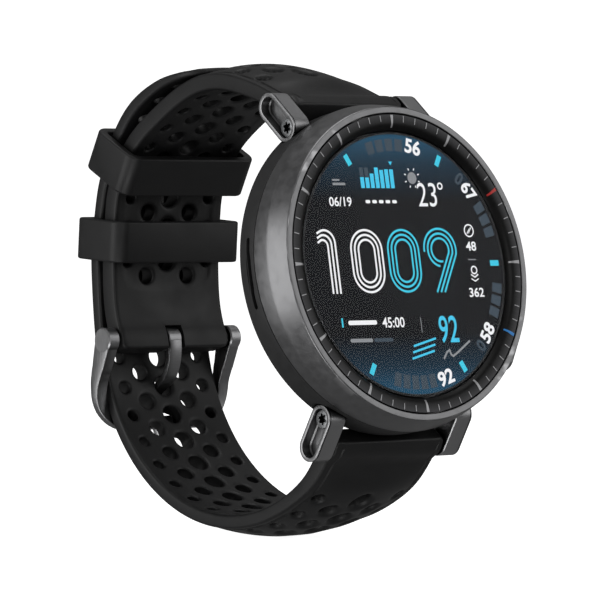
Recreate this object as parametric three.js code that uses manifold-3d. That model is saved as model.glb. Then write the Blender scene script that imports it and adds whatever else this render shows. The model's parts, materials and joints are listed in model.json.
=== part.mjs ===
// GPS running watch on its closed silicone strap.
//
// Everything is modelled in the dial's own frame: x towards 3 o'clock, y towards 12 o'clock and
// z out of the dial, with z = 0 on the bezel's front edge. One outer group leans the dial back
// and puts the origin on the flat of the optical sensor that rests on the wrist.

import * as THREE from 'three';
import { mergeVertices } from 'three/addons/utils/BufferGeometryUtils.js';
import Module from 'manifold-3d';

const wasm = await Module();
wasm.setup();

// ---------------------------------------------------------------- driving dimensions, in mm
const LEAN_DEG = 10.5;            // how far the dial leans back from upright
const GAP = 0.3;                  // clearance between neighbouring pieces
const ROUND = 48;                 // facets round the case
const HIDDEN_ROUND = 24;          // facets round seals and boards inside it
const SMALL_ROUND = 12;           // facets round pins, bosses and screws

const CASE_R = 22.5;              // case radius at its widest
const LIP_R = 21.55;              // outer radius of the bezel's front edge
const CAVITY_R = 19.2;            // inside of the case wall
const PARTING_MEAN = -4.8;        // seam between the metal and the plastic case halves
const PARTING_WAVE = 1.0;         // the seam dips at 3 and 9 o'clock and rises at 12 and 6
const BACK_Z = -11.5;             // flat outer face of the back cover
const SENSOR_FACE_Z = -12.6;      // flat of the optical sensor window

const STRAP_WIDTH = 19.6;
const LUG_INNER_X = 10.1;         // inner faces of the lugs: a 20 mm strap fitting
const LUG_OUTER_X = 13.0;
const LUG_RADIUS = 1.95;
const LUG_WALL = 0.55;
const LUG_FLOOR_X = 11.5;         // bottom of the recess in each lug
const LUG_SCREW = [19.85, -7.3];  // y and z of the lug screw
const SPRING_BAR = [23.25, -10.2]; // y and z of the spring bar

const BAR_RADIUS = 0.9;
const BAR_TIP_RADIUS = 0.42;
const BARREL_RADIUS = 1.95;       // strap end that turns on the spring bar

const BUTTON_ANGLES = { start_button: 30, back_button: -30 };
const BUTTON_Z = -4.3;

const LOOP_CENTRE = [-2.83, -28.62]; // centre of the lower strap's arc
const LOOP_RADIUS = 28.07;           // its centre line
const HOLE_PITCH = 4.45;
const HOLE_RADIUS = 1.6;
const BUCKLE_PIN = [-1.8, -52.8];
const TONGUE_WIDTH = 2.2;
const KEEPER_LENGTH = 5.9;

// ---------------------------------------------------------------- materials
const paint = (color, roughness, metalness) => new THREE.MeshStandardMaterial({ color, roughness, metalness });
const GUNMETAL = [0x8b8c8e, 0.38, 1];
const BRIGHT_GUNMETAL = [0x9c9d9f, 0.32, 1];
const BLACK_RESIN = [0x2b2b2c, 0.6, 0];
const SILICONE = [0x242424, 0.75, 0];
const STEEL = [0xb4b6b8, 0.3, 1];
const GOLD = [0xc9a24a, 0.3, 1];
const BOARD_GREEN = [0x1f5136, 0.6, 0];

const watch = new THREE.Group();

// ---------------------------------------------------------------- solids and meshes
function signedVolume(geometry) {
  const position = geometry.attributes.position;
  const corner = [new THREE.Vector3(), new THREE.Vector3(), new THREE.Vector3()];
  let volume = 0;
  for (let i = 0; i < geometry.index.count; i += 3) {
    corner.forEach((point, k) => point.fromBufferAttribute(position, geometry.index.getX(i + k)));
    volume += corner[0].dot(corner[1].clone().cross(corner[2])) / 6;
  }
  return volume;
}

// Shared vertices and outward faces, whatever way round the outline was drawn.
function closed(geometry) {
  const bare = geometry.clone();
  bare.deleteAttribute('normal');
  bare.deleteAttribute('uv');
  const merged = mergeVertices(bare, 1e-4);
  if (signedVolume(merged) < 0) {
    merged.setIndex(Array.from(merged.index.array).reverse());
  }
  return merged;
}

function solid(geometry) {
  const body = closed(geometry);
  return new wasm.Manifold(new wasm.Mesh({
    numProp: 3,
    vertProperties: new Float32Array(body.attributes.position.array),
    triVerts: new Uint32Array(body.index.array),
  }));
}

function fromSolid(body) {
  const { vertProperties, triVerts } = body.getMesh();
  const geometry = new THREE.BufferGeometry();
  geometry.setAttribute('position', new THREE.BufferAttribute(vertProperties, 3));
  geometry.setIndex(new THREE.BufferAttribute(triVerts, 1));
  return geometry;
}

function cut(geometry, ...tools) {
  return fromSolid(tools.reduce((body, tool) => body.subtract(solid(tool)), solid(geometry)));
}

function common(geometry, other) {
  return fromSolid(solid(geometry).intersect(solid(other)));
}

function join(...pieces) {
  return fromSolid(pieces.map(solid).reduce((body, piece) => body.add(piece)));
}

function add(name, geometry, material) {
  const mesh = new THREE.Mesh(closed(geometry), paint(...material));
  mesh.geometry.computeVertexNormals();
  mesh.name = name;
  watch.add(mesh);
}

// ---------------------------------------------------------------- shape helpers
// A ring or disc turned about the dial's axis from [radius, z] points. A point's z may be a
// function of the angle round the dial, for an edge that rises and falls.
function turned(profile, segments = ROUND) {
  const closedProfile = profile[0][0] > 0 ? [...profile, profile[0]] : profile;
  const points = closedProfile.map(([radius], row) => new THREE.Vector2(radius, row));
  const geometry = new THREE.LatheGeometry(points, segments);
  const position = geometry.attributes.position;
  for (let i = 0; i < position.count; i += 1) {
    const z = closedProfile[Math.round(position.getY(i))][1];
    const x = position.getX(i);
    const y = -position.getZ(i);
    const height = typeof z === 'function' ? z(Math.atan2(y, x)) : z;
    position.setXYZ(i, x, y, height);
  }
  return geometry;
}

function disc(radius, low, high, x = 0, y = 0, segments = SMALL_ROUND) {
  const geometry = new THREE.CylinderGeometry(radius, radius, high - low, segments);
  return geometry.rotateX(Math.PI / 2).translate(x, y, (low + high) / 2);
}

function annulus(inner, outer, low, high) {
  return turned([[inner, low], [outer, low], [outer, high], [inner, high]], HIDDEN_ROUND);
}

function box(x0, x1, y0, y1, z0, z1) {
  const geometry = new THREE.BoxGeometry(x1 - x0, y1 - y0, z1 - z0);
  return geometry.translate((x0 + x1) / 2, (y0 + y1) / 2, (z0 + z1) / 2);
}

// A round bar along x.
function crossBar(radius, x0, x1, [y, z], segments = SMALL_ROUND) {
  const geometry = new THREE.CylinderGeometry(radius, radius, x1 - x0, segments);
  return geometry.rotateZ(Math.PI / 2).translate((x0 + x1) / 2, y, z);
}

// A profile drawn in the side view (y, z), given its width along x and an optional edge chamfer.
function across(shape, x0, x1, chamfer = 0) {
  const geometry = new THREE.ExtrudeGeometry(shape, {
    depth: x1 - x0 - 2 * chamfer,
    bevelEnabled: chamfer > 0,
    bevelThickness: chamfer,
    bevelSize: chamfer,
    bevelOffset: -chamfer,
    bevelSegments: 1,
    curveSegments: 6,
  });
  geometry.translate(0, 0, x0 + chamfer);
  const sideView = new THREE.Matrix4().makeBasis(
    new THREE.Vector3(0, 1, 0), new THREE.Vector3(0, 0, 1), new THREE.Vector3(1, 0, 0));
  return geometry.applyMatrix4(sideView);
}

// A slot outline with round ends about two centres, in the side view.
function stadium([y0, z0], [y1, z1], radius) {
  const angle = Math.atan2(z1 - z0, y1 - y0);
  const shape = new THREE.Shape();
  shape.absarc(y1, z1, radius, angle - Math.PI / 2, angle + Math.PI / 2, false);
  shape.absarc(y0, z0, radius, angle + Math.PI / 2, angle + 1.5 * Math.PI, false);
  shape.closePath();
  return shape;
}

function roundedRectangle(width, height, radius, Kind = THREE.Shape) {
  const shape = new Kind();
  const right = width / 2 - radius;
  const top = height / 2 - radius;
  shape.absarc(right, top, radius, 0, Math.PI / 2, false);
  shape.absarc(-right, top, radius, Math.PI / 2, Math.PI, false);
  shape.absarc(-right, -top, radius, Math.PI, 1.5 * Math.PI, false);
  shape.absarc(right, -top, radius, 1.5 * Math.PI, 2 * Math.PI, false);
  shape.closePath();
  return shape;
}

// A smooth route in the side view through [y, z] points.
function route(points) {
  const places = points.map(([y, z]) => new THREE.Vector3(0, y, z));
  return new THREE.CatmullRomCurve3(places, false, 'centripetal');
}

// The side outline of a band: a route thickened by half(t) to each side.
function bandShape(path, half, steps) {
  const sides = [[], []];
  for (let i = 0; i <= steps; i += 1) {
    const place = path.getPointAt(i / steps);
    const along = path.getTangentAt(i / steps);
    const reach = half(i / steps);
    sides[0].push(new THREE.Vector2(place.y - along.z * reach, place.z + along.y * reach));
    sides[1].unshift(new THREE.Vector2(place.y + along.z * reach, place.z - along.y * reach));
  }
  return new THREE.Shape([...sides[0], ...sides[1]]);
}

// A round punch through a band, square to its surface, at x and a place along the route.
function punch(path, station, x, radius) {
  const place = path.getPointAt(station / path.getLength());
  const along = path.getTangentAt(station / path.getLength());
  const geometry = new THREE.CylinderGeometry(radius, radius, 8, 8);
  geometry.rotateX(Math.atan2(along.y, -along.z));
  return geometry.translate(x, place.y, place.z);
}

const mirrorY = ([y, z]) => [-y, z];

// ---------------------------------------------------------------- case
const parting = (angle) => PARTING_MEAN - PARTING_WAVE * Math.cos(2 * angle);
const lowerTop = (angle) => parting(angle) - GAP;

// Room for each lug bracket, each strap barrel, both buttons and the speaker slot.
function lugRooms() {
  const rooms = [];
  for (const end of [(point) => point, mirrorY]) {
    const room = stadium(end(LUG_SCREW), end(SPRING_BAR), LUG_RADIUS + GAP);
    rooms.push(across(room, LUG_INNER_X - GAP, CASE_R));
    rooms.push(across(room, -CASE_R, -LUG_INNER_X + GAP));
    rooms.push(crossBar(BARREL_RADIUS + GAP, -LUG_INNER_X, LUG_INNER_X, end(SPRING_BAR)));
    for (const side of [-1, 1]) {
      const ends = [side * 6.6, side * 14].sort((a, b) => a - b);
      rooms.push(crossBar(0.75, ...ends, end(LUG_SCREW), 8));
    }
  }
  return rooms;
}

function buttonRooms() {
  return Object.values(BUTTON_ANGLES).flatMap((degrees) => {
    const pocket = box(21.1, 26, -3.5, 3.5, BUTTON_Z - 1.7, BUTTON_Z + 1.7);
    const bore = crossBar(1.15, 16, 23, [0, BUTTON_Z], 10);
    return [pocket, bore].map((room) => room.rotateZ(THREE.MathUtils.degToRad(degrees)));
  });
}

function upperCase() {
  const shell = turned([
    [LIP_R - 0.9, 0], [LIP_R - 0.15, 0], [LIP_R, -0.15], [22.1, -1.9], [22.4, -3.2],
    [CASE_R, parting], [CAVITY_R, parting], [CAVITY_R, -3.2], [17.7, -3.2], [17.7, -2.65],
    [LIP_R - 0.9, -2.65],
  ]);
  add('upper_case', cut(shell, ...lugRooms(), ...buttonRooms()), GUNMETAL);
}

function lowerCase() {
  const shell = turned([
    [CASE_R - 0.05, lowerTop], [22.4, -7.6], [22.15, -9.0], [21.3, -10.2], [20.0, -11.0], [18.8, -11.3],
    [17.3, -11.3],
    [17.3, -9.5], [13.4, -9.5], [13.4, -8.6], [CAVITY_R, -8.6], [CAVITY_R, lowerTop],
  ]);
  const speakerSlot = box(-24, -18, -4.8, 4.8, -7.6, -6.8);
  const screwHoles = [45, 135, 225, 315].map((degrees) => {
    const angle = THREE.MathUtils.degToRad(degrees);
    return disc(0.75, -10, -8, 15 * Math.cos(angle), 15 * Math.sin(angle), 8);
  });
  add('lower_case', cut(shell, speakerSlot, ...screwHoles, ...lugRooms(), ...buttonRooms()), BLACK_RESIN);
}

function dial() {
  add('chapter_ring', turned([
    [18.4, -0.8], [18.4, -2.35], [20.35, -2.35], [20.35, -0.02], [19.3, -0.1], [18.8, -0.3],
  ]), [0x3a3b3d, 0.4, 0.8]);
  add('crystal', turned([[0, -0.55], [17.9, -0.55], [18.1, -0.75], [18.1, -1.1], [0, -1.1]]),
    [0x10141a, 0.05, 0]);
  add('crystal_gasket', annulus(17.75, 18.1, -2.35, -1.4), [0x1a1a1a, 0.8, 0]);
  add('display_panel', disc(17.35, -2.9, -1.4, 0, 0, ROUND), [0x0b0f16, 0.2, 0]);
}

// ---------------------------------------------------------------- inside the case
function innerParts() {
  const stemRooms = Object.values(BUTTON_ANGLES).map((degrees) => (
    box(16, 20, -1.6, 1.6, -6, -3).rotateZ(THREE.MathUtils.degToRad(degrees))));
  const speakerRoom = box(-20, -16, -5.1, 5.1, -8.5, -5.6);
  add('inner_frame', cut(annulus(17.7, 18.8, -8.25, -3.55), ...stemRooms, speakerRoom), [0x36383a, 0.6, 0]);
  add('main_board', disc(15.6, -5.4, -4.6, 0, 0, HIDDEN_ROUND), BOARD_GREEN);
  add('battery', box(-10, 10, -11, 11, -8.3, -5.7), [0xa8abae, 0.4, 0.6]);
  add('vibration_motor', disc(2.8, -8.1, -6.0, 0, -14.3), STEEL);
  add('speaker', box(-16.6, -12.3, -4.7, 4.7, -8.2, -5.9), [0x303236, 0.5, 0.3]);
  add('speaker_mesh', box(-18.45, -18.05, -4.4, 4.4, -7.7, -6.7), [0x3c3c3e, 0.5, 0.7]);

  const antenna = new THREE.Shape();
  antenna.absarc(0, 0, 17.4, Math.PI * 0.27, Math.PI * 0.73, false);
  antenna.absarc(0, 0, 16.9, Math.PI * 0.73, Math.PI * 0.27, true);
  antenna.closePath();
  const strip = new THREE.ExtrudeGeometry(antenna, { depth: 2.2, bevelEnabled: false, curveSegments: 8 });
  add('gps_antenna', strip.translate(0, 0, -8.0), GOLD);

  for (const [name, degrees] of Object.entries(BUTTON_ANGLES)) {
    const block = box(14.9, 16.7, -1.8, 1.8, -4.3, -3.5);
    add(`${name}_switch`, block.rotateZ(THREE.MathUtils.degToRad(degrees)), [0x4a4c50, 0.5, 0.4]);
  }
}

// ---------------------------------------------------------------- back
const CONTACT_XS = [-4.5, -1.5, 1.5, 4.5];
const CONTACT_Y = -10.6;

function backParts() {
  const cover = turned([
    [7.3, -10.3], [7.3, BACK_Z], [16.6, BACK_Z], [17, BACK_Z + 0.4], [17, -10.3],
  ]);
  const rooms = CONTACT_XS.map((x) => disc(0.95, -12, -10, x, CONTACT_Y, 10));
  const screws = [45, 135, 225, 315].map((degrees) => {
    const angle = THREE.MathUtils.degToRad(degrees);
    return [15 * Math.cos(angle), 15 * Math.sin(angle)];
  });
  for (const [x, y] of screws) {
    rooms.push(disc(1.25, -12, -10.8, x, y), disc(0.75, -12, -10, x, y, 8));
  }
  add('back_cover', cut(cover, ...rooms), BLACK_RESIN);
  add('back_gasket', annulus(16.1, 16.8, -10.0, -9.75), [0x1a1a1a, 0.8, 0]);
  add('sensor_window', turned([
    [0, -10.6], [7, -10.6], [7, BACK_Z], [6.4, -12.2], [5.4, SENSOR_FACE_Z], [0, SENSOR_FACE_Z],
  ], HIDDEN_ROUND), [0x0c0c0e, 0.1, 0]);
  add('sensor_board', disc(6.4, -10.2, -9.5), BOARD_GREEN);

  CONTACT_XS.forEach((x, i) => {
    add(`charging_contact_${i + 1}`, disc(0.65, BACK_Z + 0.05, -10.0, x, CONTACT_Y, 10), GOLD);
  });
  screws.forEach(([x, y], i) => {
    add(`back_screw_${i + 1}`, join(disc(0.95, -11.4, -11.1, x, y), disc(0.45, -11.2, -8.8, x, y, 8)), STEEL);
  });
}

// ---------------------------------------------------------------- lugs and their screws
function lugs() {
  for (const [end, place] of [['upper', (point) => point], ['lower', mirrorY]]) {
    for (const [side, sign] of [['left', -1], ['right', 1]]) {
      const bracket = cut(
        across(stadium(place(LUG_SCREW), place(SPRING_BAR), LUG_RADIUS), LUG_INNER_X, LUG_OUTER_X),
        across(stadium(place(LUG_SCREW), place(SPRING_BAR), LUG_RADIUS - LUG_WALL), LUG_FLOOR_X, LUG_OUTER_X + 1),
        crossBar(0.75, LUG_INNER_X - 1, LUG_OUTER_X, place(LUG_SCREW), 10),
        crossBar(BAR_TIP_RADIUS + 0.2, LUG_INNER_X - 1, LUG_OUTER_X, place(SPRING_BAR), 12),
      );
      const socket = crossBar(0.45, 12.3, 13, place(LUG_SCREW), 6);
      const screw = cut(
        join(crossBar(1.1, LUG_FLOOR_X + GAP, 12.6, place(LUG_SCREW)),
          crossBar(0.45, 7, 12, place(LUG_SCREW), 10)),
        socket,
      );
      add(`lug_${end}_${side}`, bracket.scale(sign, 1, 1), BRIGHT_GUNMETAL);
      add(`lug_screw_${end}_${side}`, screw.scale(sign, 1, 1), STEEL);
    }
  }
}

// ---------------------------------------------------------------- buttons
function buttons() {
  for (const [name, degrees] of Object.entries(BUTTON_ANGLES)) {
    const cap = new THREE.ExtrudeGeometry(roundedRectangle(2.8, 6.4, 1.3), {
      depth: 1.2,
      bevelEnabled: true,
      bevelThickness: 0.35,
      bevelSize: 0.35,
      bevelOffset: -0.35,
      bevelSegments: 1,
      curveSegments: 4,
    });
    cap.rotateY(Math.PI / 2).translate(22.35, 0, BUTTON_Z);
    const stem = crossBar(0.8, 17.6, 22.6, [0, BUTTON_Z], 10);
    add(name, join(cap, stem).rotateZ(THREE.MathUtils.degToRad(degrees)), GUNMETAL);
  }
}

// ---------------------------------------------------------------- spring bars
// A tube with one fixed tip, and a sliding tip carried by the release lever that sticks out of
// the strap's wrist side. The lower bar's tips stand just clear of its lugs.
function springBar(end, place, tipReach) {
  const centre = place(SPRING_BAR);
  const tube = cut(
    join(crossBar(BAR_RADIUS, -9.3, 9.6, centre), crossBar(BAR_TIP_RADIUS, 9, tipReach, centre, 12)),
    crossBar(0.65, -10, -2.5, centre, 12),
    box(-8.4, -3.2, centre[0] - 0.6, centre[0] + 0.6, centre[1] - 2, centre[1]),
  );
  const lever = join(
    crossBar(0.4, -tipReach, -5.3, centre, 12),
    disc(0.35, centre[1] - 3.1, centre[1], -7.2, centre[0], 12),
  );
  add(`${end}_spring_bar`, tube, STEEL);
  add(`${end}_release_lever`, lever, STEEL);
}

// ---------------------------------------------------------------- strap
const upperRoute = route([
  SPRING_BAR, [25.0, -13.2], [27.4, -17.5], [29.9, -24.2], [30.15, -30.0], [28.0, -37.8], [24.6, -44.8],
  [19.5, -49.4], [15.3, -51.0], [9.0, -52.6], [2.9, -53.3], BUCKLE_PIN,
]);

function lowerRoutePoints() {
  const points = [mirrorY(SPRING_BAR)];
  for (let degrees = -119; degrees <= 3; degrees += 12) {
    const angle = THREE.MathUtils.degToRad(degrees);
    points.push([
      LOOP_CENTRE[0] + LOOP_RADIUS * Math.sin(angle),
      LOOP_CENTRE[1] - LOOP_RADIUS * Math.cos(angle),
    ]);
  }
  points.push([7.0, -56.0], [11.8, -55.2], [16.2, -53.7], [20.8, -51.7], [27.1, -47.0], [30.1, -42.9],
    [32.0, -36.8], [32.3, -32.0], [32.1, -27.0]);
  return points;
}

const lowerRoute = route(lowerRoutePoints());

function nearestStation(path, [y, z]) {
  const length = path.getLength();
  let best = 0;
  for (let station = 0; station < length; station += 0.05) {
    const distance = (value) => path.getPointAt(value / length).distanceTo(new THREE.Vector3(0, y, z));
    if (distance(station) < distance(best)) best = station;
  }
  return best;
}

const leverRoom = ([y, z]) => box(-9.6, -4.4, y - 0.75, y + 0.75, z - 5, z);

function upperStrap() {
  const half = STRAP_WIDTH / 2;
  const band = across(bandShape(upperRoute, (t) => 1.15 + 0.35 * t, 28), -half, half, 0.45);
  const barrel = crossBar(BARREL_RADIUS, -half, half, SPRING_BAR);
  const buckleEnd = crossBar(1.75, -half, half, BUCKLE_PIN);
  add('upper_strap', cut(
    join(band, barrel, buckleEnd),
    crossBar(BAR_RADIUS + 0.2, -half - 1, half + 1, SPRING_BAR),
    crossBar(0.95, -half - 1, half + 1, BUCKLE_PIN),
    box(-1.5, 1.5, -6, 0.0, -60, -48),
    leverRoom(SPRING_BAR),
  ), SILICONE);
}

function lowerStrap() {
  const half = STRAP_WIDTH / 2;
  const length = lowerRoute.getLength();
  const taper = THREE.MathUtils.smoothstep;
  const thickness = (t) => 1.0 + 0.4 * (1 - taper(t, 0, 0.15)) - 0.55 * taper(t, 0.86, 1);
  const band = across(bandShape(lowerRoute, thickness, 44), -half, half, 0.3);
  const barrel = crossBar(BARREL_RADIUS, -half, half, mirrorY(SPRING_BAR));
  const holes = [];
  for (let station = tongueStation % HOLE_PITCH; station < length - 5; station += HOLE_PITCH) {
    if (station > 10) holes.push(punch(lowerRoute, station, 0, HOLE_RADIUS));
  }
  add('lower_strap', cut(
    join(band, barrel),
    crossBar(BAR_RADIUS + 0.2, -half - 1, half + 1, mirrorY(SPRING_BAR)),
    leverRoom(mirrorY(SPRING_BAR)),
    ...holes,
  ), SILICONE);
}

// A rectangular loop round both layers of the strap, turned to lie square to them.
function keeper(name, [y, z], degrees, height) {
  const ring = roundedRectangle(22.6, height, 1.3);
  ring.holes.push(roundedRectangle(20.3, height - 3.0, 0.6, THREE.Path));
  const geometry = new THREE.ExtrudeGeometry(
    ring, { depth: KEEPER_LENGTH, bevelEnabled: false, curveSegments: 4 });
  const angle = THREE.MathUtils.degToRad(degrees);
  const outward = new THREE.Vector3(0, Math.sin(angle), -Math.cos(angle));
  const along = new THREE.Vector3(0, Math.cos(angle), Math.sin(angle));
  geometry.translate(0, 0, -KEEPER_LENGTH / 2);
  geometry.applyMatrix4(new THREE.Matrix4().makeBasis(new THREE.Vector3(1, 0, 0), outward, along));
  add(name, geometry.translate(0, y, z), SILICONE);
}

// ---------------------------------------------------------------- buckle
const TONGUE_HOLE = [-8.35, -56.15];
const tongueStation = nearestStation(lowerRoute, TONGUE_HOLE);
const FRAME_WIDTH = 24.4;
const FRAME_DEPTH = 15.4; // from the dial's middle to the far bar's outer edge, along y
const LIMB_WIDTH = 1.3;
const FAR_BAR_WIDTH = 1.8;
const FRAME_CORNER = 4.6;
const PIN_BORE = 0.95;
const ROOT_RADIUS = 1.65;
const NOTCH_WIDTH = 3.0;

// A frame in the shape of a D: two limbs beside the strap that run out over it and round into a far bar.
function buckleFrame(notch) {
  const limbRoute = route([
    BUCKLE_PIN, [-4.7, -54.35], [-7.3, -55.8], [-9.3, -56.45], [-11.5, -57.0], [-13.1, -57.1],
    [-14.6, -56.75], [-15.5, -56.4],
  ]);
  const limbHalf = (t) => 1.5 - 0.75 * THREE.MathUtils.smoothstep(t, 0, 0.6);
  const side = FRAME_WIDTH / 2;
  const plan = roundedRectangle(FRAME_WIDTH, 2 * FRAME_DEPTH, FRAME_CORNER);
  plan.holes.push(roundedRectangle(
    FRAME_WIDTH - 2 * LIMB_WIDTH, 2 * (FRAME_DEPTH - FAR_BAR_WIDTH), FRAME_CORNER - LIMB_WIDTH, THREE.Path));
  const column = new THREE.ExtrudeGeometry(plan, { depth: 16, bevelEnabled: false, curveSegments: 6 });
  column.translate(0, 0, BUCKLE_PIN[1] - 8);
  const plate = join(
    across(bandShape(limbRoute, limbHalf, 20), -side, side),
    crossBar(1.85, -side, side, BUCKLE_PIN),
  );
  const bosses = [-1, 1].map((sign) => {
    const xs = [sign * 10.1, sign * 11.2].sort((a, b) => a - b);
    return crossBar(1.15, ...xs, BUCKLE_PIN);
  });
  return cut(
    join(common(plate, column), ...bosses),
    crossBar(PIN_BORE, -11.7, 11.7, BUCKLE_PIN),
    notch,
  );
}

function buckle() {
  const tongueRoute = route([
    [-1.6, -51.6], [-3.4, -51.8], [-5.7, -52.65], [-7.4, -54.1], TONGUE_HOLE, [-8.85, -57.5],
    [-10.6, -58.35], [-12.8, -58.1], [-14.75, -57.35], [-16.0, -56.75],
  ]);
  const half = TONGUE_WIDTH / 2;
  const root = crossBar(ROOT_RADIUS, -half, half, BUCKLE_PIN);
  const blade = across(bandShape(tongueRoute, () => 0.45, 28), -half, half);
  const notch = across(bandShape(tongueRoute, () => 0.6, 28), -NOTCH_WIDTH / 2, NOTCH_WIDTH / 2);
  add('buckle_frame', buckleFrame(notch), BRIGHT_GUNMETAL);
  add('buckle_pin', crossBar(0.7, -11.4, 11.4, BUCKLE_PIN), STEEL);
  add('buckle_tongue', cut(join(root, blade), crossBar(PIN_BORE, -3, 3, BUCKLE_PIN)), BRIGHT_GUNMETAL);
}

// ---------------------------------------------------------------- assembly
upperCase();
lowerCase();
dial();
innerParts();
backParts();
lugs();
buttons();
springBar('upper', (point) => point, 11.2);
springBar('lower', mirrorY, 9.85);
upperStrap();
lowerStrap();
keeper('lower_keeper', [12.65, -52.5], 14.5, 10.2);
keeper('upper_keeper', [23.05, -47.75], 38, 9.8);
buckle();

const upright = new THREE.Group();
watch.position.z = -SENSOR_FACE_Z;
upright.add(watch);
upright.rotation.x = THREE.MathUtils.degToRad(90 - LEAN_DEG);

export default upright;
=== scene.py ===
"""The GPS running watch's looks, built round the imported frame.

Shapes are drawn in the dial's own frame, in millimetres: x towards 3 o'clock, u towards 12 o'clock
and n out of the dial, with n = 0 on the bezel's front edge. DIAL turns that frame into the row frame.
"""

import json
import math

import bmesh
import bpy
from mathutils import Matrix, Vector
from mathutils.geometry import delaunay_2d_cdt


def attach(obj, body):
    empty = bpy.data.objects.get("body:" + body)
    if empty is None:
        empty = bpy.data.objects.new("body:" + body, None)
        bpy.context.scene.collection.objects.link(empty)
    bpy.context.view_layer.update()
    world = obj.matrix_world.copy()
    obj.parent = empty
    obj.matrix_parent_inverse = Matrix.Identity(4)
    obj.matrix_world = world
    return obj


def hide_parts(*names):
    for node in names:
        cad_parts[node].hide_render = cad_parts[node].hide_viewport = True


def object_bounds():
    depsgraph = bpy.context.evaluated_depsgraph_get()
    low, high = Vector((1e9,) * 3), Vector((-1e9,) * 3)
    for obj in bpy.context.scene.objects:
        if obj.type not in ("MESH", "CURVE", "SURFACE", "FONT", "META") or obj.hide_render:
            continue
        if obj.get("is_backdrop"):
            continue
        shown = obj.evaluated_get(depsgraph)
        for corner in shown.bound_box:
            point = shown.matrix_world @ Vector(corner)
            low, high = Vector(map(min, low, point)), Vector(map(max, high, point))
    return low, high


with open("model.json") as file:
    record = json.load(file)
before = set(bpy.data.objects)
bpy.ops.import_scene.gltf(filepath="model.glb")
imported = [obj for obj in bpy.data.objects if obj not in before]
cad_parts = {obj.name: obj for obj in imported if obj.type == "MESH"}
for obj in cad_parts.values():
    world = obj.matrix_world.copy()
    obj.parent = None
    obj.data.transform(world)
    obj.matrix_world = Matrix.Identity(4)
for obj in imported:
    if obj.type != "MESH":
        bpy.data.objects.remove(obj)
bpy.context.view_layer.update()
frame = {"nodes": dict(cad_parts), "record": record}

# ---------------------------------------------------------------- the dial's frame
MM = 0.001
SENSOR_FACE_N = -12.6
MOUNTS = {mount["name"]: mount for mount in frame["record"]["mounts"]}
RIGHT = Vector((1, 0, 0))
OUT = -Vector(MOUNTS["wrist_face"]["axis"]).normalized()
UP = OUT.cross(RIGHT)
DIAL = Matrix((RIGHT * MM, UP * MM, OUT * MM)).transposed().to_4x4()
DIAL.translation = Vector(MOUNTS["wrist_face"]["pos_m"]) - OUT * SENSOR_FACE_N * MM

# ---------------------------------------------------------------- driving dimensions, in mm
CASE_R = 22.5
LIP_R = 21.55
CAVITY_R = 19.2
SEAM = 0.16
SEAM_MEAN = -4.8
SEAM_WAVE = 1.0
BACK_N = -11.5
RING_IN = 18.3
RING_OUT = 20.4
SCREEN_R = 17.8

STRAP_HALF = 9.8
LUG_XS = (10.1, 13.0)
LUG_R = 1.95
LUG_WALL = 0.55
LUG_FLOOR_X = 11.5
LUG_SCREW = (19.85, -7.3)
SPRING_BAR = (23.25, -10.2)
BARREL_R = 1.95
BAR_BORE = 1.1

BUTTON_ANGLES = {"start_button": 30, "back_button": -30}
BUTTON_N = -4.3

LOOP_CENTRE = (-2.83, -28.62)
LOOP_R = 28.07
PITCH = 4.6
BUCKLE_PIN = (-1.8, -52.8)
PIN_BORE = 0.9
BUCKLE_END_R = 1.75
FRAME_HALF = 12.2
LIMB_WIDE = 1.9
FRAME_CORNER = 4.6
FRAME_END = -14.3
TONGUE_HALF = 1.1
TONGUE_HOLE = (-8.35, -56.15)
KEEPER_LENGTH = 5.9
KEEPER_WIDTH = 23.0
KEEPER_ROOM = 20.3


# ---------------------------------------------------------------- mesh helpers
def new_object(name, data):
    """An object in the scene that holds data."""
    obj = bpy.data.objects.new(name, data)
    bpy.context.scene.collection.objects.link(obj)
    return obj


def new_mesh(name, vertices, faces):
    """A mesh object still in dial millimetres, with shared points merged and faces pointing out."""
    mesh = bpy.data.meshes.new(name)
    mesh.from_pydata([tuple(v) for v in vertices], [], faces)
    tidy = bmesh.new()
    tidy.from_mesh(mesh)
    bmesh.ops.remove_doubles(tidy, verts=tidy.verts, dist=1e-4)
    bmesh.ops.recalc_face_normals(tidy, faces=tidy.faces)
    tidy.to_mesh(mesh)
    tidy.free()
    return new_object(name, mesh)


def carve(obj, *cutters):
    """Cuts each cutter out of obj and throws the cutter away."""
    for cutter in cutters:
        modifier = obj.modifiers.new("carve", "BOOLEAN")
        modifier.object = cutter
        modifier.solver = "EXACT"
        solved = obj.evaluated_get(bpy.context.evaluated_depsgraph_get())
        mesh = bpy.data.meshes.new_from_object(solved)
        obj.modifiers.clear()
        obj.data = mesh
        bpy.data.objects.remove(cutter)
    return obj


def settle(obj, material, body, slot, *nodes, crease=32):
    """Puts a finished mesh in the row frame with its material and body, and hides the nodes it stands for.
    slot is not used.
    """
    mesh = obj.data
    mesh.transform(DIAL)
    mesh.polygons.foreach_set("use_smooth", [True] * len(mesh.polygons))
    mesh.set_sharp_from_angle(angle=math.radians(crease))
    mesh.materials.clear()
    mesh.materials.append(material)
    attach(obj, body)
    if nodes:
        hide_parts(*nodes)
    return obj


def skin(rings, start_cap=True, end_cap=True, loop=False):
    """Vertices and faces of a surface through rings of equal length."""
    size = len(rings[0])
    vertices = [point for ring in rings for point in ring]
    faces = []
    for i in range(len(rings) if loop else len(rings) - 1):
        low, high = i * size, (i + 1) % len(rings) * size
        for k in range(size):
            after = (k + 1) % size
            faces.append((low + k, low + after, high + after, high + k))
    if start_cap and not loop:
        faces.append(tuple(range(size))[::-1])
    if end_cap and not loop:
        faces.append(tuple(range(len(vertices) - size, len(vertices))))
    return vertices, faces


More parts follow.
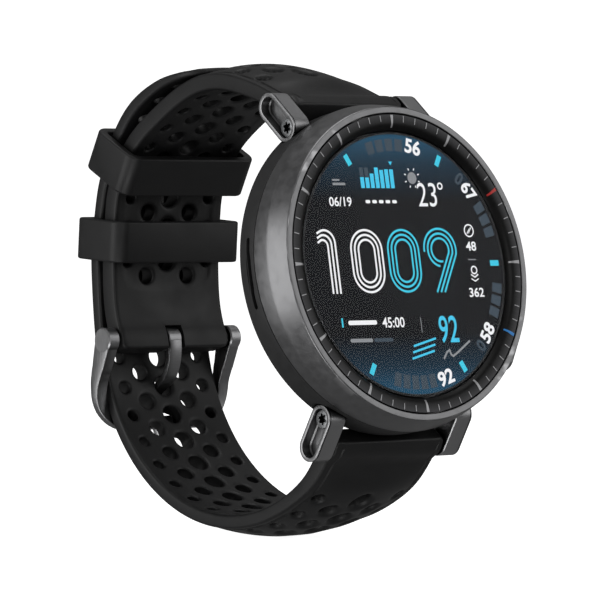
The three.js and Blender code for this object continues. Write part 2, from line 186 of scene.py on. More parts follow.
def rounded(corners, steps=4):
    """An outline whose corners (a, b, reach) are rounded by a curve that starts reach before each."""
    points = []
    for i, (a, b, reach) in enumerate(corners):
        if reach == 0:
            points.append((a, b))
            continue
        here = Vector((a, b))
        before = (Vector(corners[i - 1][:2]) - here).normalized() * reach + here
        after = (Vector(corners[(i + 1) % len(corners)][:2]) - here).normalized() * reach + here
        for k in range(steps + 1):
            t = k / steps
            point = before * (1 - t) ** 2 + here * 2 * t * (1 - t) + after * t * t
            points.append(tuple(point))
    return points


def turned(name, profile, segments=192):
    """A body turned about the dial's axis. profile gives (radius, n) points, or does so for an angle."""
    rings = []
    for k in range(segments):
        angle = 2 * math.pi * k / segments
        outline = profile(angle) if callable(profile) else profile
        rings.append([(r * math.cos(angle), r * math.sin(angle), n) for r, n in outline])
    return new_mesh(name, *skin(rings, loop=True))


def levels(name, outline, steps):
    """A body that stands on an outline in (x, u): steps are (n, inset) pairs from bottom to top."""
    return new_mesh(name, *skin([[(x, u, n) for x, u in outline(inset)] for n, inset in steps]))


def plate(name, outline, steps):
    """A body across the watch: outline(inset) gives (u, n) points, and steps are (x, inset) pairs."""
    return new_mesh(name, *skin([[(x, u, n) for u, n in outline(inset)] for x, inset in steps]))


def circle(radius, centre=(0, 0), count=48):
    """An outline function of a circle."""
    def outline(inset):
        turns = [2 * math.pi * k / count for k in range(count)]
        r = max(radius - inset, 1e-3)
        return [(centre[0] + r * math.cos(t), centre[1] + r * math.sin(t)) for t in turns]
    return outline


def lobed(radius, depth, centre=(0, 0), lobes=6, count=72):
    """An outline function of a six-lobe socket."""
    def outline(inset):
        points = []
        for k in range(count):
            t = 2 * math.pi * k / count
            r = radius - inset + depth * math.cos(lobes * t)
            points.append((centre[0] + r * math.cos(t), centre[1] + r * math.sin(t)))
        return points
    return outline


def stadium(start, end, radius, count=20):
    """An outline function of a slot with round ends."""
    lean = math.atan2(end[1] - start[1], end[0] - start[0])

    def outline(inset):
        points = []
        for centre, first in ((end, lean - math.pi / 2), (start, lean + math.pi / 2)):
            for k in range(count + 1):
                t = first + math.pi * k / count
                points.append((centre[0] + (radius - inset) * math.cos(t),
                               centre[1] + (radius - inset) * math.sin(t)))
        return points
    return outline


def box_outline(width, height, corner, count=6):
    """An outline function of a rounded rectangle about the origin."""
    def outline(inset):
        points = []
        reach = max(corner - inset, 0.02)
        for quarter, (side, top) in enumerate(((1, 1), (-1, 1), (-1, -1), (1, -1))):
            for k in range(count + 1):
                t = math.pi / 2 * (quarter + k / count)
                points.append((side * (width / 2 - inset - reach) + reach * math.cos(t),
                               top * (height / 2 - inset - reach) + reach * math.sin(t)))
        return points
    return outline


def spin(obj, degrees):
    """Turns a mesh about the dial's axis."""
    obj.data.transform(Matrix.Rotation(math.radians(degrees), 4, "Z"))
    return obj


def facing_x(obj):
    """Turns a body that stands on the dial so that it points along +x."""
    obj.data.transform(Matrix(((0, 0, 1, 0), (0, 1, 0, 0), (-1, 0, 0, 0), (0, 0, 0, 1))))
    return obj


def mirror(place):
    return (-place[0], place[1])


def join(name, *parts):
    """One mesh object from several."""
    whole = bmesh.new()
    for part in parts:
        whole.from_mesh(part.data)
        bpy.data.objects.remove(part)
    mesh = bpy.data.meshes.new(name)
    whole.to_mesh(mesh)
    whole.free()
    return new_object(name, mesh)


# ---------------------------------------------------------------- materials
class Nodes:
    """A material's node tree, with short ways to add and link nodes."""

    def __init__(self, name):
        self.material = bpy.data.materials.new(name)
        self.material.use_nodes = True
        self.tree = self.material.node_tree
        self.shader = self.tree.nodes["Principled BSDF"]

    def add(self, kind, settings=None, **inputs):
        node = self.tree.nodes.new(kind)
        for key, value in (settings or {}).items():
            setattr(node, key, value)
        for key, value in inputs.items():
            self.feed(node.inputs[int(key[1:])] if key[0] == "i" and key[1:].isdigit()
                      else node.inputs[key.replace("_", " ")], value)
        return node

    def feed(self, socket, value):
        if isinstance(value, bpy.types.NodeSocket):
            self.tree.links.new(value, socket)
        else:
            socket.default_value = value

    def place(self):
        return self.add("ShaderNodeTexCoord").outputs["Object"]

    def noise(self, scale, detail=3.0, vector=None, roughness=0.5):
        return self.add("ShaderNodeTexNoise", Vector=vector or self.place(), Scale=scale,
                        Detail=detail, Roughness=roughness).outputs["Fac"]

    def ramp(self, factor, stops):
        node = self.add("ShaderNodeValToRGB", Fac=factor)
        elements = node.color_ramp.elements
        while len(elements) < len(stops):
            elements.new(0.5)
        for element, (position, colour) in zip(elements, stops):
            element.position = position
            element.color = (*colour, 1) if len(colour) == 3 else colour
        return node.outputs["Color"]

    def between(self, value, low, high, to_low, to_high):
        node = self.add("ShaderNodeMapRange", Value=value)
        for key, number in (("From Min", low), ("From Max", high), ("To Min", to_low), ("To Max", to_high)):
            node.inputs[key].default_value = number
        return node.outputs["Result"]

    def mix(self, factor, first, second, blend="MIX"):
        """One colour blended over another."""
        return self.add("ShaderNodeMix", {"data_type": "RGBA", "blend_type": blend}, i0=factor, i6=first,
                        i7=second).outputs[2]

    def maths(self, operation, a, b=0.0):
        return self.add("ShaderNodeMath", {"operation": operation}, i0=a, i1=b).outputs[0]

    def dot(self, vector):
        """A distance from the dial's centre along a direction, in mm."""
        offset = self.add("ShaderNodeVectorMath", {"operation": "SUBTRACT"}, i0=self.place(),
                          i1=DIAL.translation).outputs["Vector"]
        return self.add("ShaderNodeVectorMath", {"operation": "DOT_PRODUCT"}, i0=offset,
                        i1=vector / MM).outputs["Value"]

    def bump(self, height, strength, distance):
        return self.add("ShaderNodeBump", Height=height, Strength=strength,
                        Distance=distance).outputs["Normal"]

    def edges(self):
        """0 on flats and 1 on sharp outer edges."""
        return self.between(self.add("ShaderNodeNewGeometry").outputs["Pointiness"], 0.52, 0.62, 0, 1)

    def finish(self, **inputs):
        for key, value in inputs.items():
            self.feed(self.shader.inputs[key.replace("_", " ")], value)
        return self.material


def grained(name, colour, spread, roughness, metallic=0.0, grain=0.00012, depth=0.000006,
            rough_spread=0.06, edge_wear_and_highlight=None, specular=0.5):
    """A finish with a fine grain in its relief, and a soft mottle in its colour and roughness."""
    n = Nodes(name)
    mottle = n.noise(900, 4)
    dark = tuple(c * (1 - spread) for c in colour)
    light = tuple(c * (1 + spread) for c in colour)
    base = n.ramp(mottle, [(0.3, dark), (0.7, light)])
    # Sharp edges are lightened: partly wear, partly a painted highlight of light caught on the edges.
    if edge_wear_and_highlight:
        base = n.mix(n.edges(), base, (*edge_wear_and_highlight, 1))
    fine = n.noise(1 / grain, 2)
    return n.finish(Base_Color=base, Metallic=metallic, Specular_IOR_Level=specular,
                    Roughness=n.between(mottle, 0.3, 0.7, roughness - rough_spread, roughness + rough_spread),
                    Normal=n.bump(fine, 0.6, depth))


def brushed(name, colour, roughness, along, pitch=0.00008, depth=0.000004, metallic=1.0, edge_wear_and_highlight=None,
            painted_shade_reach=0.0):
    """A metal brushed along a row-frame direction. Its last argument is how far, in metres, painted shade
    reaches out of corners to darken its colour.
    """
    n = Nodes(name)
    squeeze = [1 - 0.97 * abs(component) for component in along]
    stretched = n.add("ShaderNodeMapping", Vector=n.place(), Scale=squeeze).outputs["Vector"]
    lines = n.noise(1 / pitch, 2, stretched)
    dark = tuple(c * 0.86 for c in colour)
    light = tuple(c * 1.12 for c in colour)
    base = n.ramp(lines, [(0.3, dark), (0.7, light)])
    # Sharp edges are lightened: partly wear, partly a painted highlight of light caught on the edges.
    if edge_wear_and_highlight:
        base = n.mix(n.edges(), base, (*edge_wear_and_highlight, 1))
    # Painted shade: ambient occlusion darkens the colour in corners and recesses.
    if painted_shade_reach:
        shade = n.add("ShaderNodeAmbientOcclusion", Distance=painted_shade_reach).outputs["AO"]
        base = n.mix(1.0, base, n.ramp(shade, [(0.35, (0.12,) * 3), (0.95, (1.0,) * 3)]), "MULTIPLY")
    return n.finish(Base_Color=base, Metallic=metallic,
                    Roughness=n.between(lines, 0.3, 0.7, roughness - 0.07, roughness + 0.08),
                    Normal=n.bump(lines, 0.5, depth))


def ring_finish():
    """Dark grey metal brushed out from the dial's centre, with painted shade darkening it towards the glass,
    where the ring slopes down.
    """
    n = Nodes("ring_metal")
    x, u = n.dot(RIGHT), n.dot(UP)
    radius = n.maths("SQRT", n.maths("ADD", n.maths("MULTIPLY", x, x), n.maths("MULTIPLY", u, u)))
    angle = n.maths("ARCTAN2", u, x)
    turn = n.add("ShaderNodeCombineXYZ", X=n.maths("MULTIPLY", n.maths("COSINE", angle), 1.0),
                 Y=n.maths("SINE", angle), Z=n.maths("MULTIPLY", radius, 0.004)).outputs["Vector"]
    streaks = n.noise(120, 2, turn)
    # Painted shade: the colour darkens from the ring's outer edge to its inner, sloping edge.
    shade = n.ramp(n.between(radius, RING_IN, RING_OUT, 0, 1),
                   [(0.0, (0.004,) * 3), (0.3, (0.012,) * 3), (0.6, (0.028, 0.028, 0.029)),
                    (1.0, (0.06, 0.06, 0.063))])
    base = n.mix(1.0, shade, n.ramp(streaks, [(0.35, (0.72,) * 3), (0.65, (1.0,) * 3)]), "MULTIPLY")
    return n.finish(Base_Color=base, Metallic=0.7, Roughness=n.between(streaks, 0.3, 0.7, 0.3, 0.46),
                    Normal=n.bump(streaks, 0.35, 0.00001))


def silicone_finish(name="silicone"):
    """Soft black silicone: a fine moulded grain and slight changes of sheen."""
    n = Nodes(name)
    mottle = n.noise(260, 3)
    fine = n.noise(6500, 2)
    base = n.ramp(mottle, [(0.3, (0.0085, 0.0085, 0.0088)), (0.7, (0.012, 0.012, 0.0123))])
    return n.finish(Base_Color=base, Roughness=n.between(mottle, 0.3, 0.7, 0.4, 0.52),
                    Specular_IOR_Level=0.4, Normal=n.bump(fine, 0.35, 0.000006))


def glass_finish():
    n = Nodes("crystal_glass")
    haze = n.noise(150, 2)
    return n.finish(Base_Color=(0.97, 0.98, 1.0, 1), Transmission_Weight=1.0, IOR=1.12,
                    Specular_IOR_Level=0.15, Roughness=n.between(haze, 0.3, 0.7, 0.0, 0.02))


def screen_finish():
    """The lit screen: black, with a blue glow at its top and bottom edges."""
    n = Nodes("display")
    u = n.dot(UP)
    top = n.between(u, 8.5, 17.2, 0, 1)
    bottom = n.between(u, -9.5, -17.2, 0, 1)
    blue = n.maths("MAXIMUM", n.maths("POWER", top, 1.3), n.maths("POWER", bottom, 1.3))
    glow = n.ramp(blue, [(0.0, (0.0075, 0.0078, 0.0085)), (0.5, (0.011, 0.028, 0.046)),
                         (1.0, (0.016, 0.068, 0.12))])
    pixels = n.noise(9000, 1)
    return n.finish(Base_Color=(0.004, 0.004, 0.005, 1), Emission_Color=glow, Emission_Strength=1.0,
                    Roughness=n.between(pixels, 0.3, 0.7, 0.3, 0.4), Specular_IOR_Level=0.02)


def lit_finish(name, colour, strength=1.0):
    """Lit pixels of one colour, with a faint unevenness."""
    n = Nodes(name)
    grain = n.noise(5200, 1)
    dim = tuple(c * 0.94 for c in colour)
    return n.finish(Base_Color=(0, 0, 0, 1), Specular_IOR_Level=0.0, Roughness=0.6,
                    Emission_Color=n.ramp(grain, [(0.3, dim), (0.7, colour)]), Emission_Strength=strength)


def board_finish():
    n = Nodes("board")
    tracks = n.noise(700, 1)
    base = n.ramp(tracks, [(0.45, (0.02, 0.1, 0.055)), (0.52, (0.04, 0.17, 0.09))])
    return n.finish(Base_Color=base, Roughness=0.45, Normal=n.bump(tracks, 0.3, 0.00002))


# The lighter sharp edges given to these metals are partly wear and partly a painted highlight.
GUNMETAL = grained("gunmetal", (0.235, 0.235, 0.24), 0.05, 0.36, 1.0, edge_wear_and_highlight=(0.5, 0.5, 0.51))
# lug_metal also carries painted shade in its corners and recesses.
LUG_METAL = brushed("lug_metal", (0.3, 0.3, 0.305), 0.36, UP, edge_wear_and_highlight=(0.5, 0.5, 0.51), painted_shade_reach=0.0018)
TONGUE_METAL = brushed("tongue_metal", (0.3, 0.3, 0.305), 0.36, RIGHT, edge_wear_and_highlight=(0.45, 0.45, 0.46))
RESIN = grained("black_resin", (0.02, 0.02, 0.0205), 0.15, 0.5, grain=0.0001, specular=0.45)
SILICONE = silicone_finish()
RING_METAL = ring_finish()
GLASS = glass_finish()
SCREEN = screen_finish()
WHITE = lit_finish("lit_white", (0.93, 0.93, 0.93))
CYAN = lit_finish("lit_cyan", (0.07, 0.58, 0.83))
AQUA = lit_finish("lit_aqua", (0.06, 0.6, 0.78))
DIM = lit_finish("lit_dim", (0.055, 0.075, 0.095))
GREY = lit_finish("lit_grey", (0.27, 0.28, 0.29))
MARKS = grained("marks", (0.42, 0.42, 0.43), 0.08, 0.4, 0.6)
RED = grained("red_mark", (0.62, 0.03, 0.025), 0.1, 0.4)
BLUE = grained("blue_mark", (0.03, 0.28, 0.75), 0.1, 0.4)
# steel carries painted shade in its corners and recesses.
STEEL = brushed("steel", (0.42, 0.43, 0.44), 0.3, RIGHT, painted_shade_reach=0.0012)
GOLD = grained("gold", (0.7, 0.5, 0.2), 0.05, 0.28, 1.0)
BOARD = board_finish()
INNER = grained("inner_plastic", (0.045, 0.045, 0.05), 0.15, 0.5)
SEAL = grained("seal", (0.014, 0.014, 0.014), 0.15, 0.6)
CELL = grained("cell", (0.5, 0.51, 0.53), 0.1, 0.35, 0.8, grain=0.0004, depth=0.00002)
GREEN_EYE = grained("sensor_eye", (0.05, 0.09, 0.06), 0.2, 0.15)
SENSOR = grained("sensor_glass", (0.006, 0.006, 0.007), 0.2, 0.12, depth=0.000001)


# ---------------------------------------------------------------- case
def seam(angle):
    return SEAM_MEAN - SEAM_WAVE * math.cos(2 * angle)


def tube(name, radius, x0, x1, centre, edge=0.0, count=40):
    """A round bar along x with slightly rounded rims."""
    steps = [(x0, edge), (x0 + edge, 0), (x1 - edge, 0), (x1, edge)] if edge else [(x0, 0), (x1, 0)]
    return plate(name, circle(radius, centre, count), steps)


def lug_rooms():
    rooms = []
    for end in (lambda place: place, mirror):
        for x0, x1 in ((LUG_XS[0] - 0.25, 24), (-24, -LUG_XS[0] + 0.25)):
            outline = stadium(end(LUG_SCREW), end(SPRING_BAR), LUG_R + 0.2)
            rooms.append(plate("room", outline, [(x0, 0), (x1, 0)]))
        rooms.append(tube("room", BARREL_R + 0.3, -LUG_XS[0], LUG_XS[0], end(SPRING_BAR), count=64))
    return rooms


def button_rooms():
    rooms = []
    for degrees in BUTTON_ANGLES.values():
        pocket = facing_x(levels("room", box_outline(3.3, 6.9, 1.6, 8), [(21.1, 0), (26, 0)]))
        pocket.data.transform(Matrix.Translation((0, 0, BUTTON_N)))
        rooms.append(spin(pocket, degrees))
    return rooms


def upper_case():
    def profile(angle):
        low = seam(angle)
        return rounded([
            (20.62, 0.0, 0.1), (21.42, 0.0, 0.06), (LIP_R, -0.13, 0.06), (22.08, -1.9, 0.7),
            (22.38, -3.2, 0.25), (CASE_R, low, 0.1), (CAVITY_R, low, 0), (CAVITY_R, -3.2, 0),
            (17.7, -3.2, 0), (17.7, -2.65, 0), (20.62, -2.65, 0)])
    shell = carve(turned("upper_case", profile, 256), *lug_rooms(), *button_rooms())
    settle(shell, GUNMETAL, "case", "gunmetal", "upper_case")


def lower_case():
    def profile(angle):
        top = seam(angle) - SEAM
        return rounded([
            (CASE_R - 0.04, top, 0.1), (22.4, -7.6, 0.5), (22.15, -9.0, 0.6), (21.3, -10.2, 0.6),
            (20.0, -11.0, 0.6), (18.8, -11.3, 0.3), (17.3, -11.3, 0.08), (17.3, -9.5, 0), (13.4, -9.5, 0),
            (13.4, -8.6, 0), (CAVITY_R, -8.6, 0), (CAVITY_R, top, 0)])
    slot = plate("room", stadium((-4.55, -7.1), (4.45, -7.1), 0.34), [(-24, 0), (-20.6, 0)])
    mouth = plate("room", stadium((-4.55, -7.1), (4.45, -7.1), 0.5), [(-24, 0), (-22.24, 0)])
    rooms = [slot, mouth, *lug_rooms(), *button_rooms()]
    settle(carve(turned("lower_case", profile, 256), *rooms), RESIN, "case", "black_resin", "lower_case")


RING_TOP = [(RING_OUT, -0.06), (20.0, -0.07), (19.4, -0.1), (19.0, -0.2), (18.7, -0.38), (18.45, -0.62),
            (RING_IN, -0.8)]


def ring_height(radius):
    """The chapter ring's top at a radius."""
    for (r1, n1), (r0, n0) in zip(RING_TOP, RING_TOP[1:]):
        if r0 <= radius <= r1:
            return n0 + (n1 - n0) * (radius - r0) / (r1 - r0)
    return RING_TOP[0][1]


def chapter_ring():
    ring = turned("chapter_ring", [*RING_TOP, (RING_IN, -2.35), (RING_OUT, -2.35)], 256)
    settle(ring, RING_METAL, "case", "ring_metal", "chapter_ring")


def minute_mark(minute):
    """A raised mark: a wedge at each hour and a thin line at each minute."""
    hour = minute % 5 == 0
    low, high = (18.65, 20.34) if hour else (19.45, 20.3)
    inner, outer = (0.12, 0.24) if hour else (0.05, 0.065)
    steps = 6
    rings = []
    for i in range(steps + 1):
        r = low + (high - low) * i / steps
        half = inner + (outer - inner) * i / steps
        top, base = ring_height(r) + 0.05, ring_height(r) - 0.1
        rings.append([(-half, r, base), (half, r, base), (half, r, top), (-half, r, top)])
    return spin(new_mesh("mark", *skin(rings)), -6 * minute)


def minute_marks():
    coloured = {10: ("red_marker", RED), 20: ("blue_marker", BLUE)}
    plain = [minute_mark(minute) for minute in range(60) if minute not in coloured]
    settle(join("minute_marks", *plain), MARKS, "case", "ring_metal")
    for minute, (name, material) in coloured.items():
        settle(join(name, minute_mark(minute)), material, "case", "ring_metal")


def crystal():
    rim = rounded([(17.98, -0.55, 0.15), (18.1, -0.7, 0.1), (18.1, -0.84, 0)])
    lens = turned("crystal", [(0, -0.55), *rim, (0, -0.84)], 192)
    settle(lens, GLASS, "case", "crystal_glass", "crystal")
    screen = turned("screen", [(0, -0.87), (SCREEN_R, -0.87), (SCREEN_R, -1.1), (0, -1.1)], 192)
    settle(screen, SCREEN, "case", "display", "display_panel")
    border = turned("screen_border", [(SCREEN_R, -0.86), (18.15, -0.86), (18.15, -2.05), (SCREEN_R, -2.05)],
                    192)
    settle(border, SEAL, "case", "seal", "crystal_gasket")


# ---------------------------------------------------------------- what the screen shows
SCREEN_N = -0.862


class Layer:
    """Flat lit shapes of one colour on the screen."""

    def __init__(self):
        self.vertices, self.faces = [], []

    def shape(self, points):
        start = len(self.vertices)
        self.vertices += [(x, u, SCREEN_N) for x, u in points]
        self.faces.append(tuple(range(start, len(self.vertices))))

    def box(self, x0, x1, u0, u1, corner=0.08):
        points = box_outline(x1 - x0, u1 - u0, corner, 3)(0)
        self.shape([(x + (x0 + x1) / 2, u + (u0 + u1) / 2) for x, u in points])

    def disc(self, x, u, radius):
        self.shape(circle(radius, (x, u), 24)(0))

    def line(self, points, width, shut=False):
        """A stroke along points, with mitred bends."""
        path = [Vector(p) for p in points]
        count = len(path)
        sides = []
        for i, p in enumerate(path):
            before = path[i - 1] if i or shut else p
            after = path[(i + 1) % count] if i < count - 1 or shut else p
            ways = [(b - a).normalized() for a, b in ((before, p), (p, after)) if (b - a).length > 1e-6]
            along = sum(ways, Vector((0, 0))).normalized()
            across = Vector((-along.y, along.x))
            reach = width / 2 / max(0.5, across.dot(Vector((-ways[0].y, ways[0].x))))
            sides.append((p - across * reach, p + across * reach))
        start = len(self.vertices)
        self.vertices += [(s.x, s.y, SCREEN_N) for pair in sides for s in pair]
        for i in range(count if shut else count - 1):
            a, b = start + 2 * i, start + 2 * ((i + 1) % count)
            self.faces.append((a, b, b + 1, a + 1))

    def ring(self, x, u, radius, width, start=0, end=360):
        count = max(8, int(abs(end - start) / 9))
        turns = [math.radians(start + (end - start) * k / count) for k in range(count + 1)]
        if end - start == 360:
            turns.pop()
        points = [(x + radius * math.cos(t), u + radius * math.sin(t)) for t in turns]
        self.line(points, width, end - start == 360)

    def figures(self, text, x, u, width, height, turn=0, weight=0.03):
        """Figures that fill width and height about a point."""
        curve = bpy.data.curves.new("figures", "FONT")
        curve.body = text
        curve.offset = weight
        curve.resolution_u = 4
        source = new_object("figures", curve)
        solved = source.evaluated_get(bpy.context.evaluated_depsgraph_get())
        mesh = bpy.data.meshes.new_from_object(solved)
        xs = [v.co.x for v in mesh.vertices]
        us = [v.co.y for v in mesh.vertices]
        wide, tall = max(xs) - min(xs), max(us) - min(us)
        middle = Vector(((max(xs) + min(xs)) / 2, (max(us) + min(us)) / 2))
        lean = Matrix.Rotation(math.radians(turn), 2)
        start = len(self.vertices)
        for v in mesh.vertices:
            local = Vector(((v.co.x - middle.x) * width / wide, (v.co.y - middle.y) * height / tall))
            place = lean @ local
            self.vertices.append((x + place.x, u + place.y, SCREEN_N))
        self.faces += [tuple(start + i for i in polygon.vertices) for polygon in mesh.polygons]
        bpy.data.objects.remove(source)

    def arc_blocks(self, radius, height, start, end, count):
        """Blocks along an arc, from one bearing to another, clockwise from 12 o'clock."""
        step = (end - start) / count
        for k in range(count):
            first, last = start + step * (k + 0.12), start + step * (k + 0.88)
            turns = [math.radians(90 - (first + (last - first) * j / 4)) for j in range(5)]
            outer, inner = radius + height / 2, radius - height / 2
            self.shape([(outer * math.cos(t), outer * math.sin(t)) for t in turns]
                       + [(inner * math.cos(t), inner * math.sin(t)) for t in turns[::-1]])

    def place(self, name, material):
        obj = new_mesh(name, self.vertices, self.faces)
        for polygon in obj.data.polygons:
            if polygon.normal.z < 0:
                polygon.flip()
        settle(obj, material, "case", "display")


def polar(radius, bearing):
    """A place on the dial from its radius and its bearing, clockwise from 12 o'clock."""
    t = math.radians(90 - bearing)
    return radius * math.cos(t), radius * math.sin(t)


DIGIT_TOP, DIGIT_BOTTOM = 4.8, -3.95
LINE_STEP, LINE = 0.66, 0.3


def nought(layer, left, right):
    """A figure 0 of three nested lines."""
    for k in range(3):
        inset = 0.15 + LINE_STEP * k
        width, height = right - left - 2 * inset, DIGIT_TOP - DIGIT_BOTTOM - 2 * inset
        points = box_outline(width, height, width / 2, 10)(0)
        middle = ((left + right) / 2, (DIGIT_TOP + DIGIT_BOTTOM) / 2)
        layer.line([(x + middle[0], u + middle[1]) for x, u in points], LINE, True)


def one(layer, stem_right):
    """A figure 1 of three nested lines that bend into its flag."""
    for k in range(3):
        x = stem_right - 0.15 - LINE_STEP * k
        top = DIGIT_TOP - 0.15 - LINE_STEP * k
        reach = 1.75 - 0.45 * k
        bend = [(x - reach + reach * math.sin(t), top - reach + reach * math.cos(t))
                for t in [math.radians(-18 + 108 * j / 10) for j in range(11)]]
        layer.line([(stem_right - 3.2, bend[0][1] - 0.35), *bend, (x, DIGIT_BOTTOM)], LINE)


def nine(layer, left, right):
    """A figure 9 of three nested lines that run into its slanted stroke."""
    centre = ((left + right) / 2, DIGIT_TOP - (right - left) / 2 + 0.15)
    for k in range(3):
        radius = (right - left) / 2 - 0.15 - LINE_STEP * k
        first = (185, 262, 282)[k]
        turns = [math.radians(first + (-12 - first) * j / 22) for j in range(23)]
        bowl = [(centre[0] + radius * math.cos(t), centre[1] + radius * math.sin(t)) for t in turns]
        foot = (left + 3.05 - LINE_STEP * 1.08 * k, DIGIT_BOTTOM)
        layer.line([*bowl, foot], LINE)


def readings():
    """The figures, bars and marks on the screen."""
    white, cyan, aqua, dim, grey = (Layer() for _ in range(5))
    one(white, -12.1)
    nought(white, -9.7, -3.9)
    nought(aqua, -3.1, 2.75)
    nine(aqua, 3.5, 9.65)
    for bearing in (-30, 30, 90, 150, 210):
        aqua.line([polar(15.6, bearing), polar(17.2, bearing)], 0.78)

    white.figures("56", *polar(16.55, 13.5), 2.8, 2.1, -13.5)
    dim.arc_blocks(16.35, 1.7, -17, 7.5, 4)
    white.figures("67", *polar(16.6, 53), 2.75, 2.0, -53)
    dim.figures("0", *polar(16.6, 45), 1.2, 1.9, -45)
    dim.arc_blocks(16.65, 1.7, 59.5, 78, 3)
    dim.arc_blocks(16.65, 1.7, 99, 117, 3)
    white.figures("58", *polar(16.55, 125.5), 2.75, 2.0, 54.5)
    dim.figures("0", *polar(16.55, 133.5), 1.2, 1.9, 46.5)
    white.figures("92", *polar(16.35, 163), 2.9, 2.1, 17)
    dim.arc_blocks(16.2, 1.9, 169, 197, 5)

    heights = (1.5, 1.45, 2.0, 2.84, 2.5, 2.6, 2.6)
    for k, height in enumerate(heights):
        left = -6.36 + 0.9 * k
        cyan.box(left, left + 0.68, 10.38, 10.38 + height, 0.04)
        if k < 2:
            dim.box(left, left + 0.68, 10.46 + height, 13.2, 0.04)
    cyan.shape([(-0.95, 14.05), (-0.6, 13.5), (-0.25, 14.05)])
    grey.box(-11.4, -9.15, 10.75, 11.1)
    grey.box(-11.4, -10.1, 11.35, 11.6)
    white.figures("06/19", -10.4, 8.52, 4.0, 1.3, weight=0.015)
    for k in range(5):
        white.box(-5.9 + 1.2 * k, -5.05 + 1.2 * k, 8.3, 8.75, 0.2)

    grey.disc(3.05, 11.8, 0.82)
    for k in range(8):
        spoke = math.radians(45 * k + 22.5)
        white.line([(3.05 + r * math.cos(spoke), 11.8 + r * math.sin(spoke)) for r in (1.12, 1.45)], 0.16)
    white.figures("23", 5.45, 9.5, 3.45, 3.3, weight=0.0)
    white.ring(8.0, 10.7, 0.4, 0.22)

    white.ring(12.36, 4.52, 0.82, 0.2)
    white.line([(11.95, 4.1), (12.4, 4.7), (12.3, 4.2), (12.75, 4.95)], 0.2)
    white.figures("48", 12.4, 2.36, 1.9, 1.3, weight=0.02)
    grey.box(11.55, 13.05, 0.42, 0.58)
    white.ring(12.43, -0.95, 0.5, 0.2)
    white.line([(11.75, -1.55), (12.43, -1.95), (13.1, -1.55)], 0.2)
    white.line([(11.75, -2.15), (12.43, -2.5), (13.1, -2.15)], 0.16)
    white.figures("362", 12.4, -4.05, 2.75, 1.3, weight=0.02)

    aqua.box(-12.78, -12.5, -8.5, -7.25, 0.05)
    white.box(-11.6, -6.5, -8.2, -7.6, 0.25)
    white.figures("45:00", -3.55, -7.95, 4.0, 1.42, weight=0.015)
    grey.box(-11.6, -7.6, -10.55, -10.05, 0.22)
    dim.box(-7.35, -3.95, -10.55, -10.05, 0.22)
    grey.box(1.38, 1.5, -9.4, -7.35, 0.04)
    cyan.figures("92", 6.35, -9.05, 3.5, 3.75, weight=0.01)
    for k in range(3):
        cyan.line([(-0.9 + 0.25 * k, -12.95 + 0.85 * k), (3.3 + 0.25 * k, -11.95 + 0.85 * k)], 0.3)
    trace = [(4.85, -13.1), (5.5, -12.2), (6.05, -11.9), (6.25, -12.5), (6.6, -12.75), (7.6, -12.2),
             (10.0, -10.7)]
    grey.line(trace, 0.3)
    for name, layer, material in (("screen_white", white, WHITE), ("screen_cyan", cyan, CYAN),
                                  ("screen_aqua", aqua, AQUA), ("screen_dim", dim, DIM),
                                  ("screen_grey", grey, GREY)):
        layer.place(name, material)


# ---------------------------------------------------------------- lugs and screws
def socket_screw(name, radius, low, high, centre, lobe=0.5, across_watch=True):
    """A cap screw's head with a six-lobe socket, standing from low to high."""
    depth = (high - low) * 0.6
    head = circle(radius, centre, 72)
    socket = lobed(lobe, lobe * 0.24, centre)
    rims = [(head, low, 0), (head, high - 0.12, 0), (head, high - 0.03, 0.05), (head, high, 0.13),
            (socket, high, -0.04), (socket, high - 0.05, 0), (socket, high - depth, 0)]
    rings = []
    for outline, level, inset in rims:
        points = outline(inset)
        rings.append([(level, a, b) if across_watch else (a, b, level) for a, b in points])
    return new_mesh(name, *skin(rings))


def lugs():
    for end, place in (("upper", lambda point: point), ("lower", mirror)):
        for side, sign in (("left", -1), ("right", 1)):
            outline = stadium(place(LUG_SCREW), place(SPRING_BAR), LUG_R, 28)
            inner, outer = LUG_XS
            groove = outer - 0.2
            bracket = plate("lug", outline, [
                (inner, 0.12), (inner + 0.12, 0), (groove - 0.14, 0), (groove - 0.12, 0.12),
                (groove - 0.02, 0.12), (groove, 0.0), (outer - 0.06, 0.0), (outer - 0.015, 0.04),
                (outer, 0.1), (outer, LUG_WALL - 0.08), (outer - 0.03, LUG_WALL - 0.02),
                (outer - 0.1, LUG_WALL), (LUG_FLOOR_X + 0.15, LUG_WALL), (LUG_FLOOR_X, LUG_WALL + 0.15)])
            screw = socket_screw("screw", 1.3, LUG_FLOOR_X - 0.05, 12.6, place(LUG_SCREW), 0.66)
            flip = Matrix.Scale(sign, 4, (1, 0, 0))
            for obj in (bracket, screw):
                obj.data.transform(flip)
                if sign < 0:
                    obj.data.flip_normals()
            bracket.name = f"lug_{end}_{side}_bracket"
            screw.name = f"lug_screw_{end}_{side}_head"
            settle(bracket, LUG_METAL, "case", "lug_metal", f"lug_{end}_{side}")
            settle(screw, STEEL, "case", "steel", f"lug_screw_{end}_{side}")


# ---------------------------------------------------------------- buttons
def buttons():
    for name, degrees in BUTTON_ANGLES.items():
        cap = levels("cap", box_outline(2.8, 6.4, 1.35, 10), [
            (22.0, 0.25), (22.12, 0.08), (22.3, 0), (23.4, 0), (23.65, 0.06), (23.8, 0.18), (23.87, 0.34),
            (23.9, 0.6), (23.82, 0.62), (23.82, 1.0)])
        stem = levels("stem", circle(0.8, count=32), [(17.6, 0.15), (17.75, 0), (22.2, 0)])
        whole = facing_x(join(f"{name}_cap", cap, stem))
        whole.data.transform(Matrix.Translation((0, 0, BUTTON_N)))
        settle(spin(whole, degrees), GUNMETAL, name, "gunmetal", name)


